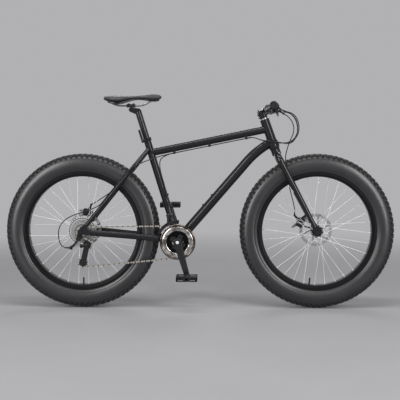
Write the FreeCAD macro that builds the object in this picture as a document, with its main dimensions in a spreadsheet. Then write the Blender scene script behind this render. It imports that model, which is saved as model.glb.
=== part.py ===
import FreeCAD, Part
import math
import os
import re
import Sketcher
from FreeCAD import Placement, Rotation, Vector

# Fat tire bike: millimetres, +X forward, drive side towards -Y, +Z up, origin on the ground mid-wheelbase.

doc = FreeCAD.newDocument("fat_tire_bike")
sheet = doc.addObject("Spreadsheet::Sheet", "Sizes")

sizes = {
    # layout
    "wheelbase": 1135,
    "bb_run": 464,
    "bb_drop": 48,
    "seat_angle": 72.8,
    "head_angle": 70,
    "fork_offset": 55,
    # fits and cuts
    "running_fit": 0.05,
    "seat_gap": 0.3,
    "overrun": 3,
    # tyre, tube and rim
    "wheel_radius": 375,
    "tyre_width": 98,
    "tyre_wall": 4,
    "tread_width": 80,
    "tread_crown": 20,
    "bead_radius": 279.5,
    "bead_width": 5,
    "rim_width": 80,
    "rim_flange": 7,
    "rim_wall": 2.6,
    "rim_well_width": 44,
    "rim_well_radius": 264,
    "rim_hole_offset": 7,
    "tube_section": 43,
    "tube_wall": 1.5,
    "valve_radius": 4,
    "valve_length": 32,
    "rear_valve_angle": 270,
    "front_valve_angle": 262.5,
    # spokes and hubs
    "spoke_count": 32,
    "spoke_crosses": 3,
    "spoke_radius": 1,
    "spoke_head_radius": 1.9,
    "spoke_lift": 2.4,
    "nipple_radius": 2.2,
    "nipple_length": 14,
    "hole_clearance": 0.4,
    "hub_flange_radius": 30,
    "hub_hole_radius": 26,
    "hub_flange_thickness": 3.4,
    "hub_shell_radius": 15,
    "front_hub_width": 135,
    "front_flange_right": 36,
    "front_flange_left": 32,
    "front_end_radius": 14,
    "rear_hub_width": 170,
    "rear_flange_right": 31,
    "rear_flange_left": 48,
    "rear_end_radius": 16,
    "axle_radius": 5,
    "locknut_radius": 8.5,
    "locknut_width": 6,
    "axle_nut_radius": 9,
    "axle_nut_length": 9,
    "dropout_thickness": 7,
    # disc brakes
    "rotor_radius": 80,
    "rotor_track": 15,
    "rotor_thickness": 1.8,
    "rotor_bore_radius": 17.5,
    "rotor_centre_radius": 27,
    "rotor_bolt_circle": 22,
    "rotor_bolt_radius": 2.5,
    "rotor_arm_width": 8,
    "rotor_arms": 6,
    "rotor_vent_radius": 2.6,
    "rotor_boss_width": 5,
    "front_rotor_offset": 51,
    "rear_rotor_offset": 69,
    "caliper_length": 46,
    "caliper_height": 34,
    "caliper_width": 34,
    "caliper_slot": 6,
    "caliper_arm_length": 44,
    "caliper_arm_thickness": 5,
    "caliper_corner": 6,
    "caliper_reach": 84,
    "caliper_inner_side": 14,
    "caliper_pad_radius": 8,
    "caliper_pad_gap": 0.5,
    "caliper_pin_radius": 3,
    "caliper_arm_root": 9,
    "caliper_arm_tip": 5,
    "caliper_bracket": 6,
    "caliper_rib": 5,
    "stop_radius": 4,
    "stop_length": 12,
    "front_caliper_angle": 154,
    "rear_caliper_angle": 81,
    "front_arm_angle": 215,
    "rear_arm_angle": 170,
    "front_stop_run": -27,
    "front_stop_rise": 34,
    "rear_stop_run": 15,
    "rear_stop_rise": 37,
    "bracket_reach": 80,
    # quick releases
    "qr_housing_radius": 9,
    "qr_housing_length": 15,
    "qr_slot_width": 9,
    "qr_slot_floor": 4,
    "qr_pin_height": 10,
    "qr_pin_radius": 2,
    "qr_cam_radius": 5.4,
    "qr_lever_length": 52,
    "qr_lever_width": 8.2,
    "qr_lever_end_radius": 5,
    "qr_lever_angle": 165,
    # front triangle
    "bb_shell_radius": 24,
    "bb_shell_bore": 17,
    "bb_shell_width": 100,
    "seat_tube_radius": 17.5,
    "seat_tube_length": 520,
    "top_tube_radius": 18,
    "top_tube_wall": 1.8,
    "top_tube_seat_level": 447,
    "top_tube_head_level": 545,
    "down_tube_radius": 23,
    "down_tube_wall": 2,
    "down_tube_head_level": 483,
    "down_tube_rise": 49.1,
    "down_tube_run": 563,
    "down_tube_bend": 420,
    "head_tube_bottom": 454,
    "head_tube_length": 140,
    "head_tube_radius": 22.5,
    "head_tube_flare": 27,
    "head_tube_flare_length": 22,
    "head_tube_blend": 11,
    "head_tube_bore": 18.6,
    "boss_radius": 4.5,
    "boss_height": 4,
    "boss_bore": 2.1,
    "boss_spacing": 64,
    "seat_boss_level": 165,
    "down_boss_level": 210,
    # rear triangle
    "chainstay_height": 28,
    "chainstay_width": 15,
    "chainstay_bb_side": 36,
    "chainstay_tyre_side": 65,
    "chainstay_bb_lift": 6,
    "chainstay_front_run": 100,
    "chainstay_middle_run": 230,
    "chainstay_bend": 90,
    "stay_wall": 1.6,
    "seatstay_radius": 10,
    "seatstay_angle": 51,
    "seatstay_tyre_side": 67,
    "seatstay_top_side": 20,
    "seatstay_straight": 405,
    "seatstay_length": 508,
    "seatstay_bend": 70,
    "bridge_radius": 7,
    "dropout_eye_radius": 16,
    "dropout_stay_radius": 12,
    "dropout_chainstay_reach": 46,
    "dropout_seatstay_reach": 40,
    "dropout_slot_angle": 300,
    "hanger_radius": 11,
    "hanger_back": 9,
    "hanger_drop": 30,
    # seat
    "seatpost_radius": 15.8,
    "seatpost_insert": 110,
    "seatpost_exposed": 150,
    "post_fit": 0.1,
    "collar_radius": 22,
    "collar_height": 16,
    "collar_slot": 3,
    "saddle_length": 278,
    "saddle_width": 150,
    "saddle_tail_back": 131,
    "saddle_base_rise": 20,
    "saddle_height": 31,
    "saddle_base_thickness": 5,
    "rail_radius": 3.5,
    "rail_spread": 22,
    "clamp_back": 29.4,
    "clamp_rise": 13,
    "clamp_plate": 8,
    "clamp_length": 40,
    "clamp_width": 54,
    "seatpost_wall": 2.2,
    "post_head_radius": 11,
    "post_head_width": 28,
    # fork and cockpit
    "steerer_radius": 14.3,
    "steerer_top": 640,
    "crown_level": 412,
    "crown_race_level": 440,
    "crown_bend": 34,
    "fork_leg_side": 74,
    "fork_leg_radius": 16,
    "fork_leg_tip_radius": 11,
    "fork_tip_gap": 26,
    "stem_clamp_radius": 19,
    "stem_clamp_height": 40,
    "stem_clamp_level": 620,
    "stem_radius": 15,
    "stem_reach": 68,
    "stem_rise": 15,
    "stem_front_radius": 21.5,
    "stem_front_width": 44,
    "faceplate_gap": 1.2,
    "bolt_radius": 2.5,
    "bolt_head_radius": 4.5,
    "bolt_head_height": 4,
    "bar_width": 680,
    "bar_radius": 11.1,
    "bar_centre_radius": 15.9,
    "bar_centre_width": 64,
    "bar_taper": 70,
    "bar_sweep": 5,
    "bar_sweep_start": 112,
    "bar_bend": 120,
    "bar_wall": 2.2,
    "grip_radius": 16.5,
    "grip_length": 132,
    "grip_collar_radius": 18,
    "grip_collar_width": 6,
    "spacer_radius": 18,
    "cap_thickness": 7,
    # hand controls
    "lever_mount_side": 182,
    "lever_mount_width": 14,
    "lever_mount_wall": 5,
    "lever_pivot_reach": 34,
    "lever_drop_angle": 42,
    "lever_length": 98,
    "lever_splay": 14,
    "lever_root_radius": 8,
    "lever_tip_radius": 5.5,
    "lever_thickness": 9,
    "lever_ear": 4,
    "lever_pin_radius": 2.5,
    "barrel_length": 14,
    "pod_side": 132,
    "pod_radius": 19,
    "pod_height": 15,
    "pod_forward": 12,
    "thumb_length": 44,
    "thumb_thickness": 5,
    # crankset
    "crank_length": 170,
    "crank_lead_angle": 16,
    "crank_inner_side": 88,
    "crank_thickness": 13,
    "crank_root_radius": 19,
    "crank_eye_radius": 13,
    "spindle_radius": 12,
    "crank_bolt_radius": 11,
    "crank_bolt_height": 4,
    "cup_flange_radius": 24,
    "cup_flange_width": 7,
    "cup_length": 22,
    "chain_line": 74,
    "chain_pitch": 12.7,
    "ring_teeth": 38,
    "inner_teeth": 26,
    "ring_thickness": 1.8,
    "inner_ring_side": 66,
    "ring_bolt_circle": 52,
    "ring_bore": 46,
    "inner_ring_bore": 27,
    "inner_bolt_circle": 32,
    "spider_arms": 4,
    "spider_thickness": 4,
    "guard_radius": 86,
    "guard_opening": 55,
    "ring_bolt_radius": 4,
    "ring_bolt_head_radius": 5.5,
    "ring_bolt_cap": 1.6,
    "crank_boss_radius": 20,
    "spider_root_radius": 13,
    "spider_end_radius": 9,
    "post_radius": 5,
    "guard_thickness": 3,
    "pedal_axle_radius": 6,
    "pedal_barrel_radius": 10,
    "pedal_start": 108,
    "pedal_width": 94,
    "pedal_length": 100,
    "pedal_height": 24,
    "pedal_wall": 6,
    # chain and rear gears
    "roller_radius": 3.9,
    "roller_seat": 4.25,
    "tooth_height": 3.3,
    "tooth_tip": 1.6,
    "tooth_flank_angle": 60,
    "link_plate": 0.9,
    "link_inner_gap": 2.5,
    "link_plate_gap": 0.15,
    "link_end_radius": 4.2,
    "pin_radius": 1.8,
    "pin_overhang": 0.3,
    "cog_teeth": 11,
    "cog_pitch": 4.8,
    "cassette_core": 17.9,
    "pulley_teeth": 11,
    "pulley_hub_radius": 9,
    "pulley_hub_width": 7,
    "pulley_bore": 4,
    "guide_forward": 28,
    "guide_drop": 62,
    "cage_length": 90,
    "cage_angle": 257,
    "cage_plate": 2,
    "cage_gap": 4.6,
    "cage_end_radius": 13,
    "cage_search": 20,
    # rear derailleur
    "knuckle_radius": 12,
    "knuckle_length": 20,
    "derailleur_slant": 49,
    "link_length": 52,
    "link_rest_angle": 14,
    "link_end_radius_side": 7.5,
    "link_depth": 9.7,
    "link_pin_radius": 3,
    "lug_depth": 12,
    "arm_radius": 5.5,
    "arm_elbow": 32,
    "arm_elbow_angle": 52,
    "pivot_back": 24,
    "pivot_side": 100,
    "cage_shaft_radius": 5,
    "cage_shaft_length": 14,
    "cage_knuckle_side": 82,
    "cage_knuckle_length": 22,
    # front derailleur
    "front_cage_start": 86,
    "front_cage_end": 155,
    "front_cage_inner": 90,
    "front_cage_outer": 105,
    "front_bridge": 3,
    "front_cage_gap": 11,
    "front_cage_plate": 1.6,
    "front_clamp_level": 128,
    "front_clamp_radius": 21.5,
    "front_clamp_height": 16,
    "front_pivot_side": 58,
    "front_pivot_radius": 4,
    "front_arm_thickness": 6,
    "front_pivot_rise": 6,
    "front_lug_radius": 7.5,
    "front_lug_width": 9.7,
    "front_lug_half": 4,
    "front_lug_room": 1.2,
    "front_cable_side": 34,
    # cables
    "cable_radius": 2.4,
    "cable_spread": 9,
    "cable_drop": 6,
    "guide_front_run": 466,
    "guide_middle_run": 285,
    "guide_rear_run": 111,
    "loop_lead": 20,
    "loop_top_level": 579,
    "loop_top_forward": 146,
    "loop_middle_level": 492,
    "loop_bottom_level": 442,
    "loop_bottom_forward": 93,
    "loop_head_level": 466,
    "loop_head_forward": 16,
    "loop_tail_level": 505,
    "loop_tail_back": 50,
    "loop_side": 34,
    "stay_cable_gap": 14,
    "seat_cable_side": 36,
    "seat_cable_level": 418,
    "bend_cable_side": 82,
    "bend_cable_level": 410,
    "shift_loop_back": 108,
    "shift_loop_high": 60,
    "shift_loop_side": 90,
    "brake_drop_forward": 40,
    "brake_drop_side": 96,
    "guide_length": 12,
    "guide_wall": 2.2,
}

for row, (alias, number) in enumerate(sizes.items(), start=1):
    sheet.set(f"A{row}", alias)
    sheet.set(f"B{row}", str(number))
    sheet.setAlias(f"B{row}", alias)
doc.recompute()


class Sizes:
    def __getattr__(self, alias):
        return float(sheet.get(alias))


s = Sizes()
nodes = []
sides = {"right": -1, "left": 1}
along_x = Vector(1, 0, 0)
along_y = Vector(0, 1, 0)
along_z = Vector(0, 0, 1)
full_turn = 360


# Helpers for bound features

def bind(text):
    def named(word):
        return "Sizes." + word.group() if word.group() in sizes else word.group()
    return re.sub(r"[a-z][a-z0-9_]*", named, text)


def value(text):
    return float(sheet.evalExpression(bind(text)))


def node(item, label):
    item.Label = label
    nodes.append(item)
    return item


def feature(name, shape):
    item = doc.addObject("Part::Feature", name)
    item.Shape = shape
    return item


def along(start, direction):
    return Placement(start, Rotation(along_z, direction))


def framed(start, x_direction, z_direction):
    y_direction = z_direction.cross(x_direction)
    return Placement(start, Rotation(x_direction, y_direction, z_direction, "XZY"))


def rod(name, start, direction, radius, length):
    item = doc.addObject("Part::Cylinder", name)
    item.setExpression("Radius", bind(radius))
    item.setExpression("Height", bind(length))
    item.Placement = along(start, direction)
    return item


def block(name, placement, length, width, height):
    item = doc.addObject("Part::Box", name)
    item.setExpression("Length", bind(length))
    item.setExpression("Width", bind(width))
    item.setExpression("Height", bind(height))
    item.Placement = placement
    return item


def cut(name, base, *tools):
    for index, tool in enumerate(tools):
        item = doc.addObject("Part::Cut", f"{name}_{index}" if index < len(tools) - 1 else name)
        item.Base = base
        item.Tool = tool
        base = item
    return base


def fuse(name, first, *others):
    item = doc.addObject("Part::MultiFuse", name)
    item.Shapes = [first, *others]
    item.Refine = True
    return item


def group(name, members):
    item = doc.addObject("Part::Compound", name)
    item.Links = members
    return item


def sleeve(name, start, direction, outer, inner, length):
    back = start - direction * s.overrun
    body = rod(name + "_outer", start, direction, outer, length)
    bore = rod(name + "_bore", back, direction, inner, f"{length} + 2 * overrun")
    return cut(name, body, bore)


def outline_sketch(body, points):
    sketch = body.newObject("Sketcher::SketchObject", body.Name + "_outline")
    plane = [item for item in body.Origin.OriginFeatures if item.Role == "XY_Plane"][0]
    sketch.AttachmentSupport = [(plane, "")]
    sketch.MapMode = "FlatFace"
    corners = [Vector(value(across), value(up), 0) for across, up in points]
    count = len(corners)
    for index in range(count):
        sketch.addGeometry(Part.LineSegment(corners[index], corners[(index + 1) % count]), False)
    for index in range(count):
        sketch.addConstraint(Sketcher.Constraint("Coincident", index, 2, (index + 1) % count, 1))
    for index, point in enumerate(points):
        for kind, text, axis in zip(("DistanceX", "DistanceY"), point, (-2, -1)):
            if text == "0":
                sketch.addConstraint(Sketcher.Constraint("PointOnObject", index, 1, axis))
                continue
            bound = sketch.addConstraint(Sketcher.Constraint(kind, -1, 1, index, 1, value(text)))
            sketch.setExpression(f"Constraints[{bound}]", bind(text))
    return sketch


def turned(name, points, base, axis):
    body = doc.addObject("PartDesign::Body", name)
    sketch = outline_sketch(body, points)
    revolution = body.newObject("PartDesign::Revolution", name + "_turned")
    revolution.Profile = sketch
    revolution.ReferenceAxis = (sketch, ["H_Axis"])
    revolution.Angle = full_turn
    body.Placement = Placement(base, Rotation(along_x, axis))
    return body


# Helpers for plain shapes

def bent_wire(points, bend=None):
    edges = []
    start = points[0]
    for before, corner, after in zip(points, points[1:], points[2:]):
        back = (before - corner).normalize()
        ahead = (after - corner).normalize()
        half = back.getAngle(ahead) / 2
        run_share = 0.45
        shorter = min((before - corner).Length, (after - corner).Length)
        radius = bend if bend else run_share * shorter * math.tan(half)
        reach = radius / math.tan(half)
        middle = corner + (back + ahead).normalize() * (radius / math.sin(half) - radius)
        edges.append(Part.LineSegment(start, corner + back * reach).toShape())
        edges.append(Part.Arc(corner + back * reach, middle, corner + ahead * reach).toShape())
        start = corner + ahead * reach
    edges.append(Part.LineSegment(start, points[-1]).toShape())
    return Part.Wire(edges)


def pipe(points, radius, bend=None):
    profile = Part.Wire(Part.Circle(points[0], points[1] - points[0], radius).toShape())
    return bent_wire(points, bend).makePipeShell([profile], True, False)


def tube(points, radius, wall, bend):
    return pipe(points, radius, bend).cut(pipe(points, radius - wall, bend))


def cylinder(start, direction, radius, length):
    return Part.makeCylinder(radius, length, start, direction)


def annulus(start, direction, outer, inner, length):
    return cylinder(start, direction, outer, length).cut(cylinder(start, direction, inner, length))


def closed_face(edges):
    return Part.Face(Part.Wire(edges))


def polygon(corners):
    return Part.Face(Part.makePolygon([*corners, corners[0]]))


def strap(length, first_radius, second_radius, thickness):
    lean = math.acos((first_radius - second_radius) / length)

    def rim_point(centre, radius, angle):
        return Vector(centre + radius * math.cos(angle), radius * math.sin(angle), 0)

    first = [rim_point(0, first_radius, angle) for angle in (-lean, math.pi, lean)]
    second = [rim_point(length, second_radius, angle) for angle in (lean, 0, -lean)]
    edges = [
        Part.Arc(*first).toShape(),
        Part.LineSegment(first[2], second[0]).toShape(),
        Part.Arc(*second).toShape(),
        Part.LineSegment(second[2], first[0]).toShape(),
    ]
    return closed_face(edges).extrude(Vector(0, 0, thickness))


def placed(shape, placement):
    item = shape.copy()
    item.Placement = placement.multiply(item.Placement)
    return item


def side_strap(first, second, first_radius, second_radius, side, thickness):
    span = Vector(second.x - first.x, 0, second.z - first.z)
    shape = strap(span.Length, first_radius, second_radius, thickness)
    start = Vector(first.x, side, first.z)
    return placed(shape, framed(start, span.normalize(), along_y))


def mirrored(shape):
    return shape.mirror(Vector(0, 0, 0), along_y)


def fused(first, *others):
    return first.multiFuse(list(others)).removeSplitter()


# Main places of the bike

def in_plane(angle):
    return Vector(math.cos(math.radians(angle)), 0, math.sin(math.radians(angle)))


rear_centre = Vector(-s.wheelbase / 2, 0, s.wheel_radius)
front_centre = Vector(s.wheelbase / 2, 0, s.wheel_radius)
bb_centre = rear_centre + Vector(s.bb_run, 0, -s.bb_drop)
seat_up = in_plane(180 - s.seat_angle)
seat_back = in_plane(270 - s.seat_angle)
seat_top = bb_centre + seat_up * s.seat_tube_length
steer_up = in_plane(180 - s.head_angle)
steer_forward = in_plane(90 - s.head_angle)
steer_foot = front_centre - steer_forward * s.fork_offset


def on_steer(level, forward=0, side=0):
    return steer_foot + steer_up * level + steer_forward * forward + along_y * side


# Wheels

def tyre(prefix, centre):
    half = s.tyre_width / 2
    tread = s.tread_width / 2
    shoulder = s.wheel_radius - s.tread_crown
    bead_side = s.rim_width / 2 - s.rim_wall - s.seat_gap
    bead_top = s.bead_radius + s.rim_flange
    bead_foot = s.bead_radius + s.seat_gap
    waist = (shoulder + bead_top) / 2
    wall = s.tyre_wall

    def point(side, radius):
        return centre + Vector(0, side, radius)

    outer = [(bead_side, bead_top), (half, waist), (tread, shoulder), (0, s.wheel_radius)]
    inner_side = bead_side - s.bead_width
    inner = [(inner_side, bead_top), (half - wall, waist), (tread - wall, shoulder - wall / 2)]
    inner.append((0, s.wheel_radius - wall))

    def skin(corners):
        foot, belly, edge, crown = corners
        near = Part.Arc(point(*foot), point(*belly), point(*edge)).toShape()
        top = Part.Arc(point(*edge), point(*crown), point(-edge[0], edge[1])).toShape()
        far = Part.Arc(point(-edge[0], edge[1]), point(-belly[0], belly[1]), point(-foot[0], foot[1]))
        return [near, top, far.toShape()]

    def bead(sign):
        corners = [
            point(sign * bead_side, bead_top),
            point(sign * bead_side, bead_foot),
            point(sign * inner_side, bead_foot),
            point(sign * inner_side, bead_top),
        ]
        return [Part.LineSegment(a, b).toShape() for a, b in zip(corners, corners[1:])]

    edges = Part.sortEdges(skin(outer) + skin(inner) + bead(1) + bead(-1))[0]
    shape = closed_face(edges).revolve(centre, along_y, full_turn)
    node(feature(prefix + "_tyre", shape), prefix + "_tyre")


def valve_direction(prefix):
    return in_plane(value(prefix + "_valve_angle"))


def rim(prefix, centre):
    half = "rim_width / 2"
    well = "rim_well_width / 2"
    top = "bead_radius + rim_flange"
    seat = "bead_radius"
    under = "bead_radius - rim_wall"
    points = []
    for sign in ("-", ""):
        lip = [
            (f"{sign}({half})", top),
            (f"{sign}({half} - rim_wall)", top),
            (f"{sign}({half} - rim_wall)", seat),
            (f"{sign}({well})", seat),
            (f"{sign}({well} - rim_wall)", "rim_well_radius + rim_wall"),
        ]
        points += lip if sign else lip[::-1]
    for sign in ("", "-"):
        foot = [
            (f"{sign}({half})", under),
            (f"{sign}({well} + rim_wall)", under),
            (f"{sign}({well})", "rim_well_radius"),
        ]
        points += foot[::-1] if sign else foot
    body = turned(prefix + "_rim_hoop", points, centre, along_y)
    drills = []
    for place, direction, hole_radius in rim_holes(prefix, centre):
        drills.append(cylinder(place, direction, hole_radius, s.bead_radius - s.rim_well_radius + s.overrun))
    tool = feature(prefix + "_rim_drills", Part.makeCompound(drills))
    node(cut(prefix + "_rim", body, tool), prefix + "_rim")


def rim_holes(prefix, centre):
    count = int(s.spoke_count)
    start = s.rim_well_radius - s.overrun
    first = value(prefix + "_valve_angle") + full_turn / count / 2
    for index in range(count):
        direction = in_plane(first + index * full_turn / count)
        side = s.rim_hole_offset if index % 2 else -s.rim_hole_offset
        yield centre + direction * start + along_y * side, direction, s.nipple_radius + s.hole_clearance
    direction = valve_direction(prefix)
    yield centre + direction * start, direction, s.valve_radius + s.hole_clearance


def inner_tube(prefix, centre):
    ring_radius = "wheel_radius - tyre_wall - tube_section - seat_gap"
    hollow = []
    for kind, section in (("skin", "tube_section"), ("air", "tube_section - tube_wall")):
        torus = doc.addObject("Part::Torus", f"{prefix}_tube_{kind}")
        torus.setExpression("Radius1", bind(ring_radius))
        torus.setExpression("Radius2", bind(section))
        torus.Placement = along(centre, along_y)
        hollow.append(torus)
    direction = valve_direction(prefix)
    foot = centre + direction * (s.rim_well_radius - s.valve_length)
    stem = rod(prefix + "_valve_stem", foot, direction, "valve_radius", "valve_length - overrun")
    root_foot = foot + direction * (s.valve_length - s.overrun)
    reach = f"{ring_radius} - tube_section + tube_wall - rim_well_radius + overrun"
    root = rod(prefix + "_valve_root", root_foot, direction, "valve_radius + hole_clearance / 2", reach)
    skin = fuse(prefix + "_tube_with_valve", hollow[0], stem, root)
    node(cut(prefix + "_inner_tube", skin, hollow[1]), prefix + "_inner_tube")


def hub(prefix, centre):
    end = f"{prefix}_hub_width / 2 - locknut_width - seat_gap"
    right = f"{prefix}_flange_right"
    left = f"{prefix}_flange_left"
    half = "hub_flange_thickness / 2"
    bore = "axle_radius + running_fit"
    seat = f"{prefix}_rotor_offset - rotor_thickness / 2"
    pilot = "rotor_bore_radius - seat_gap"
    points = [
        (f"-({end})", bore),
        (f"-({end})", f"{prefix}_end_radius"),
        (f"-{right} - {half}", f"{prefix}_end_radius"),
        (f"-{right} - {half}", "hub_flange_radius"),
        (f"-{right} + {half}", "hub_flange_radius"),
        (f"-{right} + {half}", "hub_shell_radius"),
        (f"{left} - {half}", "hub_shell_radius"),
        (f"{left} - {half}", "hub_flange_radius"),
        (f"{left} + {half}", "hub_flange_radius"),
        (f"{left} + {half}", "hub_shell_radius"),
        (f"{seat} - rotor_boss_width", "hub_shell_radius"),
        (f"{seat} - rotor_boss_width", "rotor_centre_radius"),
        (seat, "rotor_centre_radius"),
        (seat, pilot),
        (end, pilot),
        (end, bore),
    ]
    body = turned(prefix + "_hub_shell", points, centre, along_y)
    drills = []
    for spoke in spoke_places(prefix, centre):
        start = spoke["hub"] - along_y * s.hub_flange_thickness
        drills.append(cylinder(start, along_y, s.spoke_radius + s.hole_clearance,
                               2 * s.hub_flange_thickness))
    tool = feature(prefix + "_hub_drills", Part.makeCompound(drills))
    node(cut(prefix + "_hub", body, tool), prefix + "_hub")


def spoke_places(prefix, centre):
    count = int(s.spoke_count)
    step = full_turn / count
    lean = s.spoke_crosses * 2 * step
    first = value(prefix + "_valve_angle") + step / 2
    for index in range(count):
        left = index % 2
        leading = index // 2 % 2
        rim_angle = first + index * step
        hub_angle = rim_angle - lean if leading else rim_angle + lean
        flange = value(f"{prefix}_flange_left") if left else -value(f"{prefix}_flange_right")
        yield {
            "hub": centre + in_plane(hub_angle) * s.hub_hole_radius + along_y * flange,
            "rim": centre + in_plane(rim_angle) * s.rim_well_radius
            + along_y * (s.rim_hole_offset if left else -s.rim_hole_offset),
            "outward": along_y * ((1 if left else -1) * (1 if leading else -1)),
        }


def spokes(prefix, centre):
    solids = []
    half = s.hub_flange_thickness / 2
    for spoke in spoke_places(prefix, centre):
        face = half + s.spoke_radius + s.spoke_lift
        elbow = spoke["hub"] + spoke["outward"] * face
        head = spoke["hub"] - spoke["outward"] * (half + s.seat_gap)
        pin = cylinder(head, spoke["outward"], s.spoke_radius, half + s.seat_gap + face)
        cap = cylinder(head, -spoke["outward"], s.spoke_head_radius, s.spoke_radius)
        run = (spoke["rim"] - elbow).normalize()
        length = (spoke["rim"] - elbow).Length
        visible = s.nipple_length - s.rim_wall - s.overrun
        wire = cylinder(elbow, run, s.spoke_radius, length - visible)
        knee = Part.makeSphere(s.spoke_radius, elbow)
        solids.append(fused(pin, cap, knee, wire))
        nipple_start = spoke["rim"] - run * visible
        solids.append(cylinder(nipple_start, run, s.nipple_radius, s.nipple_length))
    node(feature(prefix + "_spokes", Part.makeCompound(solids)), prefix + "_spokes")


def rotor(prefix, centre):
    inner_track = s.rotor_radius - s.rotor_track
    side = value(f"{prefix}_rotor_offset") - s.rotor_thickness / 2
    start = centre + along_y * side
    disc = annulus(start, along_y, s.rotor_radius, inner_track, s.rotor_thickness)
    middle = annulus(start, along_y, s.rotor_centre_radius, s.rotor_bore_radius, s.rotor_thickness)
    arms = []
    drills = []
    bolts = []
    overlap_share = 0.5
    reach = s.rotor_track * overlap_share
    for index in range(int(s.rotor_arms)):
        angle = index * full_turn / s.rotor_arms
        foot = start + in_plane(angle) * (s.rotor_centre_radius - s.rotor_arm_width / 2)
        lean_share = 1 / 3
        tip = start + in_plane(angle + full_turn / s.rotor_arms * lean_share) * (inner_track + reach)
        width = s.rotor_arm_width / 2
        arms.append(side_strap(foot, tip, width, width, start.y, s.rotor_thickness))
        place = start + in_plane(angle) * s.rotor_bolt_circle
        drills.append(cylinder(place, along_y, s.rotor_bolt_radius + running_hole, s.rotor_thickness))
        shank = cylinder(place, along_y, s.rotor_bolt_radius, s.rotor_thickness)
        head = cylinder(place + along_y * s.rotor_thickness, along_y, s.bolt_head_radius,
                        s.bolt_head_height / 2)
        bolts.append(fused(shank, head))
    vents_per_arm = 5
    vents = int(s.rotor_arms) * vents_per_arm
    track_share = 0.5
    for index in range(vents):
        wave = s.rotor_track / 4 * (1 if index % 2 else -1)
        middle_radius = s.rotor_radius - s.rotor_track * track_share
        place = start + in_plane(index * full_turn / vents) * (middle_radius + wave)
        drills.append(cylinder(place, along_y, s.rotor_vent_radius, s.rotor_thickness))
    plate = fused(disc, middle, *arms).cut(Part.makeCompound(drills))
    node(feature(prefix + "_rotor", Part.makeCompound([plate, *bolts])), prefix + "_rotor")


running_hole = s.running_fit * 2
for wheel, centre in (("front", front_centre), ("rear", rear_centre)):
    tyre(wheel, centre)
    inner_tube(wheel, centre)
    rim(wheel, centre)
    spokes(wheel, centre)
    hub(wheel, centre)
    rotor(wheel, centre)


# Front triangle

def shell_space(name):
    start = bb_centre - along_y * (s.bb_shell_width / 2)
    return rod(name, start, along_y, "bb_shell_radius", "bb_shell_width")


def seat_space(name):
    return rod(name, bb_centre, seat_up, "seat_tube_radius", "seat_tube_length")


def head_space(name):
    start = on_steer(s.head_tube_bottom)
    body = rod(name + "_body", start, steer_up, "head_tube_radius", "head_tube_length")
    flare = rod(name + "_flare", start, steer_up, "head_tube_flare", "head_tube_flare_length")
    return fuse(name, body, flare)


def cup_space(name):
    return rod(name, on_steer(s.crown_race_level), steer_up, "head_tube_flare + seat_gap",
               "head_tube_bottom - crown_race_level")


def seat_tube():
    raw = sleeve("seat_tube_raw", bb_centre, seat_up, "seat_tube_radius", "seatpost_radius + post_fit",
                 "seat_tube_length")
    return cut("seat_tube", raw, shell_space("seat_tube_mitre"))


def top_tube():
    start = bb_centre + seat_up * s.top_tube_seat_level
    end = on_steer(s.top_tube_head_level)
    direction = (end - start).normalize()
    raw = sleeve("top_tube_raw", start, direction, "top_tube_radius", "top_tube_radius - top_tube_wall",
                 str((end - start).Length))
    return cut("top_tube", raw, seat_space("top_tube_seat_mitre"), head_space("top_tube_head_mitre"))


def down_tube_points():
    knee = bb_centre + in_plane(s.down_tube_rise) * s.down_tube_run
    return [bb_centre, knee, on_steer(s.down_tube_head_level)]


def down_tube():
    shape = tube(down_tube_points(), s.down_tube_radius, s.down_tube_wall, s.down_tube_bend)
    raw = feature("down_tube_raw", shape)
    return cut("down_tube", raw, shell_space("down_tube_bb_mitre"), seat_space("down_tube_seat_mitre"),
               head_space("down_tube_head_mitre"), cup_space("down_tube_cup_mitre"))


def head_tube():
    points = [
        ("0", "head_tube_bore"),
        ("0", "head_tube_flare"),
        ("head_tube_flare_length", "head_tube_flare"),
        ("head_tube_flare_length + head_tube_blend", "head_tube_radius"),
        ("head_tube_length", "head_tube_radius"),
        ("head_tube_length", "head_tube_bore"),
    ]
    return turned("head_tube", points, on_steer(s.head_tube_bottom), steer_up)


bb_shell = sleeve("bb_shell", bb_centre - along_y * (s.bb_shell_width / 2), along_y, "bb_shell_radius",
                  "bb_shell_bore", "bb_shell_width")


def bottle_bosses():
    rise = in_plane(s.down_tube_rise)
    rows = [
        (bb_centre + seat_up * s.seat_boss_level, seat_up, seat_back * -1, s.seat_tube_radius),
        (bb_centre + rise * s.down_boss_level, rise, in_plane(s.down_tube_rise + 90), s.down_tube_radius),
    ]
    solids = []
    for start, line, outward, radius in rows:
        for foot in (start, start + line * s.boss_spacing):
            boss = annulus(foot, outward, s.boss_radius, s.boss_bore, radius + s.boss_height)
            solids.append(boss.cut(cylinder(foot - line * s.boss_spacing, line, radius, 2 * s.boss_spacing)))
    return feature("bottle_bosses", Part.makeCompound(solids))


tubes = [seat_tube(), top_tube(), down_tube(), head_tube(), bb_shell, bottle_bosses()]
node(group("main_frame", tubes), "main_frame")


def headset_cup():
    lip = "head_tube_bottom - crown_race_level - seat_gap"
    points = [
        ("0", "steerer_radius + running_fit"),
        ("0", "head_tube_radius"),
        (lip, "head_tube_flare"),
        (lip, "head_tube_bore - running_fit"),
        (f"{lip} + cup_length / 2", "head_tube_bore - running_fit"),
        (f"{lip} + cup_length / 2", "steerer_radius + running_fit"),
    ]
    return turned("lower_cup", points, on_steer(s.crown_race_level + s.seat_gap), steer_up)


def upper_bearing():
    start = on_steer(s.head_tube_bottom + s.head_tube_length - s.cup_length / 2)
    return sleeve("upper_bearing", start, steer_up, "head_tube_bore - running_fit",
                  "steerer_radius + running_fit", "cup_length / 2")


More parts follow.
